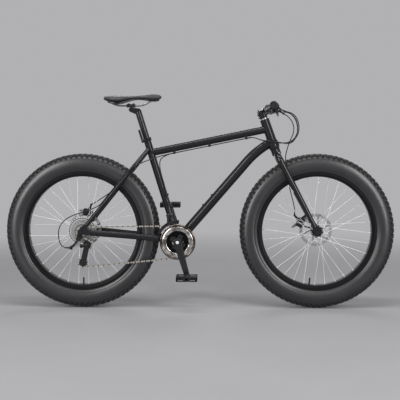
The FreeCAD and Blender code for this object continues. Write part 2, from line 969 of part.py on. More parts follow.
def bb_cup(side, sign):
    points = [
        ("0", "spindle_radius + running_fit"),
        ("0", "bb_shell_bore - running_fit"),
        ("cup_length", "bb_shell_bore - running_fit"),
        ("cup_length", "cup_flange_radius"),
        ("cup_length + cup_flange_width", "cup_flange_radius"),
        ("cup_length + cup_flange_width", "spindle_radius + running_fit"),
    ]
    start = bb_centre + along_y * (sign * (s.bb_shell_width / 2 - s.cup_length))
    return turned(f"bb_cup_{side}", points, start, along_y * sign)


bearings = [headset_cup(), upper_bearing(), *[bb_cup(side, sign) for side, sign in sides.items()]]
node(group("frame_bearings", bearings), "frame_bearings")


# Rear triangle, one side made on the drive side and mirrored

def chainstay_points():
    front = bb_centre + along_z * s.chainstay_bb_lift
    back = rear_centre + (front - rear_centre).normalize() * s.dropout_chainstay_reach
    slope = (back - front) / (front.x - back.x)
    side = -(s.rear_hub_width + s.dropout_thickness) / 2
    return [
        front - along_y * s.chainstay_bb_side,
        front + slope * s.chainstay_front_run - along_y * s.chainstay_tyre_side,
        front + slope * s.chainstay_middle_run - along_y * s.chainstay_tyre_side,
        back + along_y * side,
    ]


def oval_pipe(points, height, width, bend):
    direction = (points[1] - points[0]).normalize()
    upright = (along_z - direction * along_z.dot(direction)).normalize()
    oval = Part.Ellipse(Vector(0, 0, 0), height / 2, width / 2).toShape()
    profile = Part.Wire(placed(oval, framed(points[0], upright, direction)))
    return bent_wire(points, bend).makePipeShell([profile], True, False)


def chainstay():
    points = chainstay_points()
    outer = oval_pipe(points, s.chainstay_height, s.chainstay_width, s.chainstay_bend)
    wall = 2 * s.stay_wall
    inner = oval_pipe(points, s.chainstay_height - wall, s.chainstay_width - wall, s.chainstay_bend)
    reach = s.bb_shell_width / 2 + s.cup_flange_width
    shell = cylinder(bb_centre - along_y * reach, along_y, s.bb_shell_radius, 2 * reach)
    return outer.cut(inner).cut(shell)


def seatstay_points():
    line = in_plane(s.seatstay_angle)
    dropout_side = -(s.rear_hub_width + s.dropout_thickness) / 2
    return [
        rear_centre + line * s.dropout_seatstay_reach + along_y * dropout_side,
        rear_centre + line * s.seatstay_straight - along_y * s.seatstay_tyre_side,
        rear_centre + line * s.seatstay_length - along_y * s.seatstay_top_side,
    ]


def seatstay():
    stay = tube(seatstay_points(), s.seatstay_radius, s.stay_wall, s.seatstay_bend)
    return stay.cut(cylinder(bb_centre, seat_up, s.seat_tube_radius, s.seat_tube_length))


hanger_place = rear_centre + Vector(-s.hanger_back, 0, -s.hanger_drop)


def dropout(with_hanger):
    side = -s.rear_hub_width / 2 - s.dropout_thickness
    thick = s.dropout_thickness
    eye = s.dropout_eye_radius
    plate = side_strap(rear_centre, chainstay_points()[-1], eye, s.dropout_stay_radius, side, thick)
    seat_arm = side_strap(rear_centre, seatstay_points()[0], eye, s.seatstay_radius, side, thick)
    plate = fused(plate, seat_arm)
    if with_hanger:
        plate = fused(plate, side_strap(rear_centre, hanger_place, eye, s.hanger_radius, side, thick))
        bolt_hole = Vector(hanger_place.x, side, hanger_place.z)
        plate = plate.cut(cylinder(bolt_hole, along_y, s.pedal_axle_radius, thick))
    slot_end = rear_centre + in_plane(s.dropout_slot_angle) * s.dropout_chainstay_reach
    slot_radius = s.axle_radius + running_hole
    slot = side_strap(rear_centre, slot_end, slot_radius, slot_radius, side - s.overrun,
                      thick + 2 * s.overrun)
    return plate.cut(slot.common(cylinder(slot_end + along_y * side, along_y, s.dropout_chainstay_reach
                                          + slot_radius, thick)))


def wheel_bridge():
    points = seatstay_points()
    share = 0.97
    place = points[0] + (points[1] - points[0]) * share
    inner = abs(place.y) - s.seatstay_radius + s.stay_wall
    start = Vector(place.x, -inner, place.z)
    return cylinder(start, along_y, s.bridge_radius, 2 * inner)


stay_right = seatstay()
plate_right = dropout(True)
plate_left = mirrored(dropout(False))
stays = [stay_right.cut(plate_right), mirrored(stay_right).cut(plate_left)]
chain_right = chainstay()
stays += [chain_right.cut(plate_right), mirrored(chain_right).cut(plate_left)]
solid_stay = pipe(seatstay_points(), s.seatstay_radius, s.seatstay_bend)
bridge = wheel_bridge().cut(solid_stay).cut(mirrored(solid_stay))
node(feature("rear_triangle", Part.makeCompound([*stays, plate_right, plate_left, bridge])), "rear_triangle")


# Quick releases: the housing stands along +Z, the closed lever points along +X

def qr_housing():
    body = cylinder(Vector(0, 0, 0), along_z, s.qr_housing_radius, s.qr_housing_length)
    width = s.qr_slot_width
    reach = s.qr_housing_radius + s.overrun
    corner = Vector(-reach, -width / 2, s.qr_slot_floor)
    slot = Part.makeBox(2 * reach, width, s.qr_housing_length, corner)
    pin_start = Vector(0, -s.qr_housing_radius + s.qr_pin_radius / 2, s.qr_pin_height)
    pin = cylinder(pin_start, along_y, s.qr_pin_radius, 2 * s.qr_housing_radius - s.qr_pin_radius)
    return fused(body.cut(slot), pin)


def qr_lever():
    width = s.qr_lever_width
    start = Vector(0, width / 2, s.qr_pin_height)
    blade = strap(s.qr_lever_length, s.qr_cam_radius, s.qr_lever_end_radius, width)
    blade = placed(blade, framed(start, along_x, -along_y))
    rounding_share = 0.3
    edges = [edge for edge in blade.Edges if abs(edge.CenterOfMass.x) > s.qr_cam_radius]
    blade = blade.makeFillet(width * rounding_share / 2, edges) if edges else blade
    return blade.cut(cylinder(start - along_y * width, along_y, s.qr_pin_radius + s.running_fit, width))


def wheel_axle(prefix, centre):
    end = f"{prefix}_hub_width / 2"
    outside = f"{end} + dropout_thickness"
    inside = f"{end} - locknut_width"
    points = [(f"-({outside} + axle_nut_length)", "0"), (f"-({outside} + axle_nut_length)",
                                                         "axle_nut_radius")]
    points += [(f"-({outside})", "axle_nut_radius"), (f"-({outside})", "axle_radius")]
    points += [(f"-({end})", "axle_radius"), (f"-({end})", "locknut_radius")]
    points += [(f"-({inside})", "locknut_radius"), (f"-({inside})", "axle_radius")]
    points += [(inside, "axle_radius"), (inside, "locknut_radius"), (end, "locknut_radius")]
    points += [(end, "axle_radius"), (outside, "axle_radius"), (outside, "0")]
    shaft = turned(prefix + "_axle_shaft", points, centre, along_y)
    seat = framed(centre + along_y * value(outside), in_plane(s.qr_lever_angle), along_y)
    housing = feature(prefix + "_qr_housing", placed(qr_housing(), seat))
    node(fuse(prefix + "_axle", shaft, housing), prefix + "_axle")
    node(feature(prefix + "_qr_lever", placed(qr_lever(), seat)), prefix + "_qr_lever")


wheel_axle("front", front_centre)
wheel_axle("rear", rear_centre)


# Seat collar, post and saddle

def seat_collar():
    start = seat_top - seat_up * s.collar_height
    ring = annulus(start, seat_up, s.collar_radius, s.seat_tube_radius + s.running_fit, s.collar_height)
    ear_length = s.collar_radius - s.seat_tube_radius + s.qr_housing_radius * 2
    ear_side = s.seat_tube_radius + s.running_fit * 2
    ear_width = s.qr_housing_radius
    frame = framed(start, seat_back, seat_up)
    corner = Vector(-ear_width - s.collar_slot / 2, -ear_side - ear_length, 0)
    ears = Part.makeBox(2 * ear_width + s.collar_slot, ear_length, s.collar_height, corner)
    tube_space = cylinder(Vector(0, 0, 0), along_z, s.seat_tube_radius + s.running_fit, s.collar_height)
    gap_corner = Vector(-s.collar_slot / 2, -ear_side - ear_length, 0)
    gap = Part.makeBox(s.collar_slot, ear_length + ear_side, s.collar_height, gap_corner)
    skewer_side = -ear_side - ear_length / 2
    skewer_end = ear_width + s.collar_slot / 2
    skewer_start = Vector(-skewer_end - s.axle_nut_length / 2, skewer_side, s.collar_height / 2)
    bolt_hole = cylinder(skewer_start, along_x, s.bolt_radius + running_hole,
                         2 * skewer_end + s.axle_nut_length)
    ears = ears.cut(tube_space)
    band = fused(ring, placed(ears, frame)).cut(placed(gap.cut(tube_space), frame)).cut(placed(bolt_hole,
                                                                                               frame))
    skewer = cylinder(skewer_start, along_x, s.bolt_radius, 2 * skewer_end + s.axle_nut_length / 2)
    nut_radius = s.collar_height / 2
    nut = cylinder(skewer_start, along_x, nut_radius, s.axle_nut_length / 2)
    housing_seat = framed(Vector(skewer_end, skewer_side, s.collar_height / 2), along_z, along_x)
    skewer = fused(skewer, nut, placed(qr_housing(), housing_seat))
    solids = [mirrored(band), mirrored(placed(skewer, frame))]
    node(feature("seat_collar", Part.makeCompound(solids)), "seat_collar")
    lever = mirrored(placed(placed(qr_lever(), housing_seat), frame))
    node(feature("seat_qr_lever", lever), "seat_qr_lever")
    pin = frame.multVec(housing_seat.multVec(Vector(0, 0, s.qr_pin_height)))
    return Vector(pin.x, -pin.y, pin.z)


seat_qr_pin = seat_collar()
post_top = seat_top + seat_up * s.seatpost_exposed
saddle_clamp_centre = post_top + Vector(-s.clamp_back, 0, s.clamp_rise)
saddle_tail = saddle_clamp_centre.x - s.saddle_tail_back
saddle_base = saddle_clamp_centre.z + s.saddle_base_rise


def seatpost():
    foot = seat_top - seat_up * s.seatpost_insert
    post = sleeve("seatpost_tube", foot, seat_up, "seatpost_radius", "seatpost_radius - seatpost_wall",
                  "seatpost_insert + seatpost_exposed - seatpost_radius")
    neck = post_top - seat_up * s.seatpost_radius
    head_centre = saddle_clamp_centre - along_z * (s.clamp_plate + s.post_head_radius)
    width = s.post_head_width
    head = side_strap(neck, head_centre, s.seatpost_radius, s.post_head_radius, -width / 2, width)
    node(fuse("seatpost", post, feature("seatpost_head", head)), "seatpost")


def rail_points(sign):
    clamp = saddle_clamp_centre
    tail_share = 0.09
    nose_share = 0.83
    back_run_share = 0.25
    front_run_share = 0.2
    wide_share = 1.5
    narrow_share = 0.45
    return [
        Vector(saddle_tail + s.saddle_length * tail_share, sign * s.rail_spread * wide_share, saddle_base),
        Vector(clamp.x - s.saddle_length * back_run_share, sign * s.rail_spread, clamp.z),
        Vector(clamp.x + s.saddle_length * front_run_share, sign * s.rail_spread, clamp.z),
        Vector(saddle_tail + s.saddle_length * nose_share, sign * s.rail_spread * narrow_share,
               saddle_base + s.saddle_base_thickness),
    ]


# Saddle stations from tail to nose: place along, half width, base and top as shares of the saddle's sizes
saddle_shares = [
    (0.00, 0.50, 0.30, 0.82),
    (0.08, 0.83, 0.02, 0.93),
    (0.27, 1.00, -0.18, 0.96),
    (0.45, 0.68, 0.26, 0.93),
    (0.65, 0.37, 0.42, 1.00),
    (0.85, 0.27, 0.18, 1.17),
    (0.96, 0.21, 0.32, 1.08),
    (1.00, 0.11, 0.56, 0.86),
]


def saddle_station(along_share, width_share, base_share, top_share):
    place = saddle_tail + s.saddle_length * along_share
    half = s.saddle_width / 2 * width_share
    return place, half, saddle_base + s.saddle_height * base_share, saddle_base + s.saddle_height * top_share


def cover_section(shares):
    place, half, base, top = saddle_station(*shares)
    foot_share, shoulder_share, belly_rise_share, shoulder_rise_share = 0.88, 0.84, 0.40, 0.76
    rise = top - base
    foot = half * foot_share
    shoulder = half * shoulder_share
    corners = [(foot, base), (half, base + rise * belly_rise_share), (shoulder,
                                                                      base + rise * shoulder_rise_share)]
    right = [Vector(place, -side, height) for side, height in corners]
    left = [Vector(place, side, height) for side, height in corners]
    edges = [
        Part.LineSegment(left[0], right[0]).toShape(),
        Part.Arc(*right).toShape(),
        Part.Arc(right[2], Vector(place, 0, top), left[2]).toShape(),
        Part.Arc(*left[::-1]).toShape(),
    ]
    return Part.Wire(edges)


def shell_section(shares):
    place, half, base, top = saddle_station(*shares)
    width_share = 0.86
    side = half * width_share
    upper = base + s.saddle_base_thickness / 2
    lower = base - s.seat_gap - s.saddle_base_thickness
    corners = [Vector(place, -side, upper), Vector(place, side, upper), Vector(place, side, lower),
               Vector(place, -side, lower)]
    return Part.makePolygon([*corners, corners[0]])


def saddle():
    cover = Part.makeLoft([cover_section(shares) for shares in saddle_shares], True, False)
    cover_room = cover.copy()
    cover_room.translate(along_z * -s.seat_gap)
    shell = Part.makeLoft([shell_section(shares) for shares in saddle_shares[1:-1]], True,
                          False).cut(cover_room)
    rails = []
    for sign in sides.values():
        pieces = pipe(rail_points(sign), s.rail_radius).cut(shell).Solids
        rails.append(max(pieces, key=lambda piece: piece.Volume))
    node(feature("saddle_cover", cover), "saddle_cover")
    node(feature("saddle_shell", shell), "saddle_shell")
    node(feature("saddle_rails", Part.makeCompound(rails)), "saddle_rails")


def seatpost_clamp():
    half = Vector(s.clamp_length / 2, s.clamp_width / 2, 0)
    lower = Part.makeBox(s.clamp_length, s.clamp_width, s.clamp_plate - s.seat_gap,
                         saddle_clamp_centre - half - along_z * s.clamp_plate)
    upper = Part.makeBox(s.clamp_length, s.clamp_width, s.clamp_plate - s.seat_gap,
                         saddle_clamp_centre - half + along_z * s.seat_gap)
    grooves = []
    for sign in sides.values():
        start = saddle_clamp_centre + Vector(-s.clamp_length, sign * s.rail_spread, 0)
        grooves.append(cylinder(start, along_x, s.rail_radius + s.running_fit, 2 * s.clamp_length))
    holes = []
    bolts = []
    bolt_share = 0.3
    for sign in sides.values():
        foot = saddle_clamp_centre + Vector(sign * s.clamp_length * bolt_share, 0, -s.clamp_plate)
        length = 2 * s.clamp_plate
        holes.append(cylinder(foot, along_z, s.bolt_radius + running_hole, length))
        head = cylinder(foot + along_z * length, along_z, s.bolt_head_radius, s.bolt_head_height)
        bolts.append(fused(cylinder(foot, along_z, s.bolt_radius, length), head))
    removed = Part.makeCompound([*grooves, *holes])
    solids = [lower.cut(removed), upper.cut(removed), *bolts]
    node(feature("seatpost_clamp", Part.makeCompound(solids)), "seatpost_clamp")


seatpost()
saddle()
seatpost_clamp()


# Fork

leg_line = (front_centre - on_steer(s.crown_level)).normalize()


def crown():
    tail = leg_line * (s.crown_bend + s.overrun)
    corners = [on_steer(s.crown_level, 0, sign * s.fork_leg_side) for sign in sides.values()]
    arch = pipe([corners[0] + tail, *corners, corners[1] + tail], s.fork_leg_radius, s.crown_bend)
    steerer = cylinder(on_steer(s.crown_level), steer_up, s.steerer_radius, s.steerer_top - s.crown_level)
    race_width = s.crown_race_level - s.crown_level
    race = cylinder(on_steer(s.crown_level), steer_up, s.head_tube_radius, race_width)
    bore = cylinder(on_steer(s.crown_race_level), steer_up, s.steerer_radius - s.seatpost_wall,
                    s.steerer_top - s.crown_race_level)
    return fused(arch, steerer, race).cut(bore)


def leg():
    start = on_steer(s.crown_level, 0, -s.fork_leg_side) + leg_line * (s.crown_bend + s.overrun)
    tip = front_centre - along_y * s.fork_leg_side - leg_line * s.fork_tip_gap
    cone = Part.makeCone(s.fork_leg_radius, s.fork_leg_tip_radius, (tip - start).Length, start, leg_line)
    side = -s.front_hub_width / 2 - s.dropout_thickness
    tab = side_strap(front_centre - leg_line * (s.fork_tip_gap * 2), front_centre, s.fork_leg_tip_radius,
                     s.dropout_eye_radius, side, s.dropout_thickness)
    slot_radius = s.axle_radius + running_hole
    slot_end = front_centre + leg_line * s.dropout_chainstay_reach
    slot = side_strap(front_centre, slot_end, slot_radius, slot_radius, side, s.dropout_thickness)
    return fused(cone, tab).cut(slot)


leg_right = leg()
leg_left = mirrored(leg_right)
node(feature("fork", Part.makeCompound([crown(), leg_right, leg_left])), "fork")


# Stem, spacers, bar and grips

bar_centre = on_steer(s.stem_clamp_level + s.stem_rise, s.stem_reach)
stem_root = on_steer(s.stem_clamp_level)
stem_line = (bar_centre - stem_root).normalize()
stem_up = along_y.cross(stem_line) * -1


def bar_bolts(radius, start_back, length, heads):
    solids = []
    ring_middle = (s.stem_front_radius + s.bar_centre_radius) / 2
    side_share = 0.3
    for up in sides.values():
        for sign in sides.values():
            offset = stem_up * (up * ring_middle) + along_y * (sign * s.stem_front_width * side_share)
            start = bar_centre + offset - stem_line * start_back
            shank = cylinder(start, stem_line, radius, length)
            if heads:
                head = cylinder(start + stem_line * length, stem_line, s.bolt_head_radius / 2 + radius / 2,
                                s.bolt_head_height)
                shank = fused(shank, head)
            solids.append(shank)
    return solids


def front_half():
    start = bar_centre - along_y * s.stem_front_width
    frame = framed(start, stem_line, along_y)
    size = 4 * s.stem_front_radius
    return placed(Part.makeBox(size, size, size, Vector(0, -size / 2, 0)), frame)


def stem():
    clamp = cylinder(on_steer(s.stem_clamp_level - s.stem_clamp_height / 2), steer_up, s.stem_clamp_radius,
                     s.stem_clamp_height)
    arm = cylinder(stem_root, stem_line, s.stem_radius, (bar_centre - stem_root).Length)
    start = bar_centre - along_y * (s.stem_front_width / 2)
    front = cylinder(start, along_y, s.stem_front_radius, s.stem_front_width)
    steerer = cylinder(on_steer(s.crown_level), steer_up, s.steerer_radius + s.running_fit,
                       s.steerer_top)
    bar = cylinder(start, along_y, s.bar_centre_radius + s.running_fit, s.stem_front_width)
    depth = s.stem_front_radius
    holes = Part.makeCompound(bar_bolts(s.bolt_radius + running_hole, depth, 2 * depth, False))
    body = fused(clamp, arm, front).cut(steerer).cut(bar).cut(holes)
    node(feature("stem", body.cut(front_half())), "stem")
    gap = stem_line * s.faceplate_gap
    plate = annulus(start, along_y, s.stem_front_radius, s.bar_centre_radius + s.running_fit,
                    s.stem_front_width)
    plate = plate.cut(holes)
    half = front_half()
    half.translate(gap)
    plate = plate.common(half)
    flat_share = 0.62
    bolts = bar_bolts(s.bolt_radius, depth, depth + depth * flat_share, True)
    pockets = Part.makeCompound(bar_bolts(s.bolt_head_radius / 2 + s.bolt_radius / 2 + running_hole,
                                          -depth * flat_share, depth, False))
    node(feature("stem_faceplate", Part.makeCompound([plate.cut(pockets), *bolts])), "stem_faceplate")


def headset_spacers():
    head_top = s.head_tube_bottom + s.head_tube_length
    clamp_bottom = s.stem_clamp_level - s.stem_clamp_height / 2
    spacer = sleeve("stem_spacer", on_steer(head_top + s.seat_gap), steer_up, "spacer_radius",
                    "steerer_radius + running_fit", str(clamp_bottom - head_top - s.seat_gap))
    cap = rod("top_cap", on_steer(s.steerer_top), steer_up, "spacer_radius", "cap_thickness")
    bolt = rod("cap_bolt", on_steer(s.steerer_top + s.cap_thickness), steer_up, "bolt_head_radius",
               "bolt_head_height / 2")
    node(group("headset_spacers", [spacer, fuse("top_cap_with_bolt", cap, bolt)]), "headset_spacers")


sweep = math.radians(s.bar_sweep)
grip_line = Vector(-math.sin(sweep), -math.cos(sweep), 0)
sweep_corner = bar_centre - along_y * s.bar_sweep_start


def on_bar(side):
    return sweep_corner + grip_line * ((side - s.bar_sweep_start) / math.cos(sweep))


def handlebar():
    end = on_bar(s.bar_width / 2)
    far_end = Vector(end.x, -end.y, end.z)
    corner = Vector(sweep_corner.x, -sweep_corner.y, sweep_corner.z)
    points = [end, sweep_corner, corner, far_end]
    outer = pipe(points, s.bar_radius, s.bar_bend)
    half = s.bar_centre_width / 2
    middle = cylinder(bar_centre - along_y * half, along_y, s.bar_centre_radius, s.bar_centre_width)
    cones = []
    for sign in sides.values():
        start = bar_centre + along_y * (sign * half)
        cones.append(Part.makeCone(s.bar_centre_radius, s.bar_radius, s.bar_taper, start, along_y * sign))
    bore = pipe(points, s.bar_radius - s.bar_wall, s.bar_bend)
    node(feature("handlebar", fused(outer, middle, *cones).cut(bore)), "handlebar")


def grips():
    start = on_bar(s.bar_width / 2)
    inward = grip_line * -1
    inner = s.bar_radius + s.running_fit
    sleeve_shape = annulus(start, inward, s.grip_radius, inner, s.grip_length)
    collar_far = start + inward * (s.grip_length - s.grip_collar_width)
    collars = [annulus(place, inward, s.grip_collar_radius, inner, s.grip_collar_width)
               for place in (start, collar_far)]
    plug = cylinder(start, inward, s.bar_radius - s.bar_wall - s.running_fit, s.grip_collar_width)
    right = fused(sleeve_shape, *collars)
    solids = [right, plug]
    node(feature("grips", Part.makeCompound(solids + [mirrored(item) for item in solids])), "grips")


stem()
headset_spacers()
handlebar()
grips()


# Brake levers and shifters, made on the drive side and mirrored

def control_frame(side, angle):
    reach = in_plane(angle)
    reach = (reach - grip_line * reach.dot(grip_line)).normalize()
    return framed(on_bar(side), reach, reach.cross(grip_line))


def brake_lever_mount():
    half = s.lever_mount_width / 2
    inner = s.bar_radius + s.running_fit
    outer = s.bar_radius + s.lever_mount_wall
    ring = cylinder(Vector(0, -half, 0), along_y, outer, s.lever_mount_width)
    gap = s.lever_thickness / 2 + s.seat_gap
    thick = 2 * (gap + s.lever_ear)
    arm = strap(s.lever_pivot_reach, s.lever_root_radius, s.lever_root_radius, thick)
    arm = placed(arm, Placement(Vector(0, 0, -thick / 2), Rotation()))
    slot_start = s.lever_pivot_reach - s.lever_root_radius - s.overrun
    slot = Part.makeBox(thick * 2, thick * 2, 2 * gap, Vector(slot_start, -thick, -gap))
    pin = cylinder(Vector(s.lever_pivot_reach, 0, -thick / 2), along_z, s.lever_pin_radius, thick)
    barrel_start = Vector(slot_start - s.cable_radius * 2, 0, 0)
    barrel = cylinder(barrel_start, along_y * -1, s.cable_radius * 2, s.lever_root_radius + s.barrel_length)
    bore = cylinder(Vector(0, -thick, 0), along_y, inner, 2 * thick)
    return fused(fused(ring, arm, barrel).cut(slot), pin).cut(bore)


def brake_lever():
    blade = strap(s.lever_length, s.lever_root_radius, s.lever_tip_radius, s.lever_thickness)
    edges = [edge for edge in blade.Edges if edge.CenterOfMass.x > s.lever_length / 4]
    rounding_share = 0.25
    blade = blade.makeFillet(s.lever_thickness * rounding_share, edges)
    direction = Rotation(along_z, 90 - s.lever_splay)
    start = Vector(s.lever_pivot_reach, 0, -s.lever_thickness / 2)
    blade = placed(blade, Placement(start, direction))
    return blade.cut(cylinder(start, along_z, s.lever_pin_radius + s.running_fit, s.lever_thickness))


def shifter_pod():
    half = s.lever_mount_width / 2
    inner = s.bar_radius + s.running_fit
    outer = s.bar_radius + s.lever_mount_wall
    ring = cylinder(Vector(0, -half, 0), along_y, outer, s.lever_mount_width)
    top = s.bar_radius + s.lever_mount_wall
    pod = cylinder(Vector(top, 0, s.pod_forward), along_x, s.pod_radius, s.pod_height)
    neck = Part.makeBox(top + s.pod_height / 2, s.lever_mount_width, s.lever_mount_width,
                        Vector(0, -half, -half + s.pod_forward / 2))
    pin_start = Vector(top, 0, s.pod_forward)
    pin = cylinder(pin_start, along_x, s.lever_pin_radius, s.pod_height + s.seat_gap + s.thumb_thickness)
    bore = cylinder(Vector(0, -s.pod_radius, 0), along_y, inner, 2 * s.pod_radius)
    return fused(ring, pod, neck, pin).cut(bore)


def thumb_lever():
    blade = strap(s.thumb_length, s.lever_root_radius, s.lever_tip_radius, s.thumb_thickness)
    start = Vector(s.bar_radius + s.lever_mount_wall + s.pod_height + s.seat_gap, 0, s.pod_forward)
    outboard_share = 0.5
    heading = Vector(0, outboard_share, 1).normalize()
    blade = placed(blade, framed(start, heading, along_x))
    return blade.cut(cylinder(start, along_x, s.lever_pin_radius + s.running_fit, s.thumb_thickness))


lever_frame = control_frame(s.lever_mount_side, -s.lever_drop_angle)
pod_frame = control_frame(s.pod_side, -90)
mounts = [placed(brake_lever_mount(), lever_frame), placed(shifter_pod(), pod_frame)]
node(feature("bar_controls", Part.makeCompound(mounts + [mirrored(item) for item in mounts])),
     "bar_controls")
blade_right = placed(brake_lever(), lever_frame)
thumb_right = placed(thumb_lever(), pod_frame)
node(feature("brake_lever_right", blade_right), "brake_lever_right")
node(feature("brake_lever_left", mirrored(blade_right)), "brake_lever_left")
node(feature("shift_lever_right", thumb_right), "shift_lever_right")
node(feature("shift_lever_left", mirrored(thumb_right)), "shift_lever_left")

# Crankset

crank_line = in_plane(270 + s.crank_lead_angle)
pedal_places = {"right": bb_centre + crank_line * s.crank_length,
                "left": bb_centre - crank_line * s.crank_length}
ring_face = s.chain_line + s.ring_thickness / 2 + running_hole
guard_face = ring_face + s.spider_thickness + running_hole
inner_face = s.inner_ring_side + s.ring_thickness / 2 + running_hole
half_share = 0.5
spider_step = full_turn / s.spider_arms
spider_angles = [270 + s.crank_lead_angle + spider_step * (arm + half_share)
                 for arm in range(int(s.spider_arms))]


def on_ring(angle, radius, side):
    return bb_centre + in_plane(angle) * radius - along_y * side


def crank_arm(place, side):
    raw = side_strap(bb_centre, place, s.crank_root_radius, s.crank_eye_radius, side, s.crank_thickness)
    rounding_share = 0.2
    return raw.makeFillet(s.crank_thickness * rounding_share, raw.Edges)


def crank_holes(place, side):
    bottom = bb_centre + along_y * (side - s.overrun)
    eye = place + along_y * (side - s.overrun)
    depth = s.crank_thickness + 2 * s.overrun
    spindle = cylinder(bottom, along_y, s.spindle_radius + s.running_fit, depth)
    return Part.makeCompound([spindle, cylinder(eye, along_y, s.pedal_axle_radius + running_hole, depth)])


def crank_arms():
    outer_side = -s.crank_inner_side - s.crank_thickness
    right = crank_arm(pedal_places["right"], outer_side)
    left = crank_arm(pedal_places["left"], s.crank_inner_side)
    boss = cylinder(bb_centre - along_y * (s.crank_inner_side + s.overrun), along_y, s.crank_boss_radius,
                    s.crank_inner_side + s.overrun - ring_face)
    pieces = [boss]
    bolts = []
    for angle in spider_angles:
        end = on_ring(angle, s.ring_bolt_circle, 0)
        pieces.append(side_strap(bb_centre, end, s.spider_root_radius, s.spider_end_radius,
                                 -ring_face - s.spider_thickness, s.spider_thickness))
        post = on_ring(angle, s.inner_bolt_circle, ring_face + s.spider_thickness / 2)
        pieces.append(cylinder(post, along_y, s.post_radius,
                               ring_face + s.spider_thickness / 2 - inner_face))
        bolts.append(cylinder(on_ring(angle, s.ring_bolt_circle, guard_face), along_y,
                              s.ring_bolt_radius + running_hole, s.spider_thickness + 2 * running_hole))
        bolts.append(cylinder(on_ring(angle, s.inner_bolt_circle, ring_face), along_y,
                              s.bolt_radius + running_hole, ring_face - inner_face))
    spindle_room = cylinder(bb_centre - along_y * s.crank_inner_side, along_y,
                            s.spindle_radius + s.running_fit,
                            s.crank_inner_side)
    right = fused(right, *pieces).cut(Part.makeCompound(bolts)).cut(spindle_room)
    right = right.cut(crank_holes(pedal_places["right"], outer_side))
    left = left.cut(crank_holes(pedal_places["left"], s.crank_inner_side))
    node(feature("crank_arms", Part.makeCompound([right, left])), "crank_arms")


def crank_axles():
    outside = "crank_inner_side + crank_thickness"
    bolt_foot = f"{outside} + running_fit"
    bolt_top = f"{bolt_foot} + crank_bolt_height"
    points = [(f"-({bolt_top})", "0"), (f"-({bolt_top})", "crank_bolt_radius"), (f"-({bolt_foot})",
                                                                                 "crank_bolt_radius")]
    points += [(f"-({bolt_foot})", "spindle_radius"), (bolt_foot, "spindle_radius"), (bolt_foot,
                                                                                      "crank_bolt_radius")]
    points += [(bolt_top, "crank_bolt_radius"), (bolt_top, "0")]
    members = [turned("crank_spindle", points, bb_centre, along_y)]
    for side, sign in sides.items():
        start = pedal_places[side] + along_y * (sign * s.crank_inner_side)
        length = "pedal_start + pedal_width - pedal_wall - seat_gap - crank_inner_side"
        axle = rod(f"pedal_axle_{side}", start, along_y * sign, "pedal_axle_radius", length)
        collar_start = start + along_y * (sign * (s.crank_thickness + s.seat_gap))
        collar_length = "pedal_start - crank_inner_side - crank_thickness - 2 * seat_gap"
        collar = rod(f"pedal_collar_{side}", collar_start, along_y * sign, "pedal_barrel_radius",
                     collar_length)
        members.append(fuse(f"pedal_spindle_{side}", axle, collar))
    node(group("crank_axles", members), "crank_axles")


def pedal(side, sign):
    place = pedal_places[side]
    near = min(sign * s.pedal_start, sign * (s.pedal_start + s.pedal_width))
    wall = s.pedal_wall
    corner = Vector(place.x - s.pedal_length / 2, near, place.z - s.pedal_height / 2)
    body = Part.makeBox(s.pedal_length, s.pedal_width, s.pedal_height, corner)
    upright = [edge for edge in body.Edges if edge.BoundBox.ZLength > s.pedal_height / 2]
    body = body.makeFillet(wall, upright)
    room = Part.makeBox(s.pedal_length - 2 * wall, s.pedal_width - 2 * wall, s.pedal_height,
                        corner + Vector(wall, wall, 0))
    rib_share = 0.6
    rib_height = s.pedal_height * rib_share
    rib_corner = Vector(corner.x, near + s.pedal_width / 2 - wall / 2, place.z - rib_height / 2)
    rib = Part.makeBox(s.pedal_length, wall, rib_height, rib_corner)
    barrel = cylinder(Vector(place.x, near, place.z), along_y, s.pedal_barrel_radius, s.pedal_width)
    start = place + along_y * (sign * s.pedal_start)
    bore = cylinder(start, along_y * sign, s.pedal_axle_radius + s.running_fit, s.pedal_width - wall)
    shape = fused(body.cut(room), rib, barrel).cut(bore)
    node(feature(f"pedal_{side}", shape), f"pedal_{side}")


# Sprockets and the route of the chain over them

def pitch_radius(teeth):
    return s.chain_pitch / (2 * math.sin(math.pi / teeth))


def sprocket(centre, teeth, phase, bore):
    radius = pitch_radius(teeth)
    step = full_turn / teeth
    lean = math.radians(s.tooth_flank_angle)
    middle = Vector(centre.x, centre.y - s.ring_thickness / 2, centre.z)
    points = []
    for index in range(teeth):
        outward = in_plane(phase + index * step)
        sideways = in_plane(phase + index * step + 90)
        seat = middle + outward * radius
        arc = [seat + (sideways * (math.sin(lean) * sign) - outward * math.cos(lean)) * s.roller_seat
               for sign in sides.values()]
        tip_out = in_plane(phase + (index + half_share) * step)
        tip_side = in_plane(phase + (index + half_share) * step + 90)
        tip = middle + tip_out * (radius + s.tooth_height)
        points.append({
            "arc": (arc[0], seat - outward * s.roller_seat, arc[1]),
            "tip": (tip - tip_side * (s.tooth_tip / 2), tip + tip_side * (s.tooth_tip / 2)),
        })
    edges = []
    for here, there in zip(points, points[1:] + points[:1]):
        edges.append(Part.Arc(*here["arc"]).toShape())
        edges.append(Part.LineSegment(here["arc"][2], here["tip"][0]).toShape())
        edges.append(Part.LineSegment(*here["tip"]).toShape())
        edges.append(Part.LineSegment(here["tip"][1], there["arc"][0]).toShape())
    plate = closed_face(edges).extrude(Vector(0, s.ring_thickness, 0))
    return plate.cut(cylinder(middle, along_y, bore, s.ring_thickness))


guide_place = rear_centre + Vector(s.guide_forward, 0, -s.guide_drop)


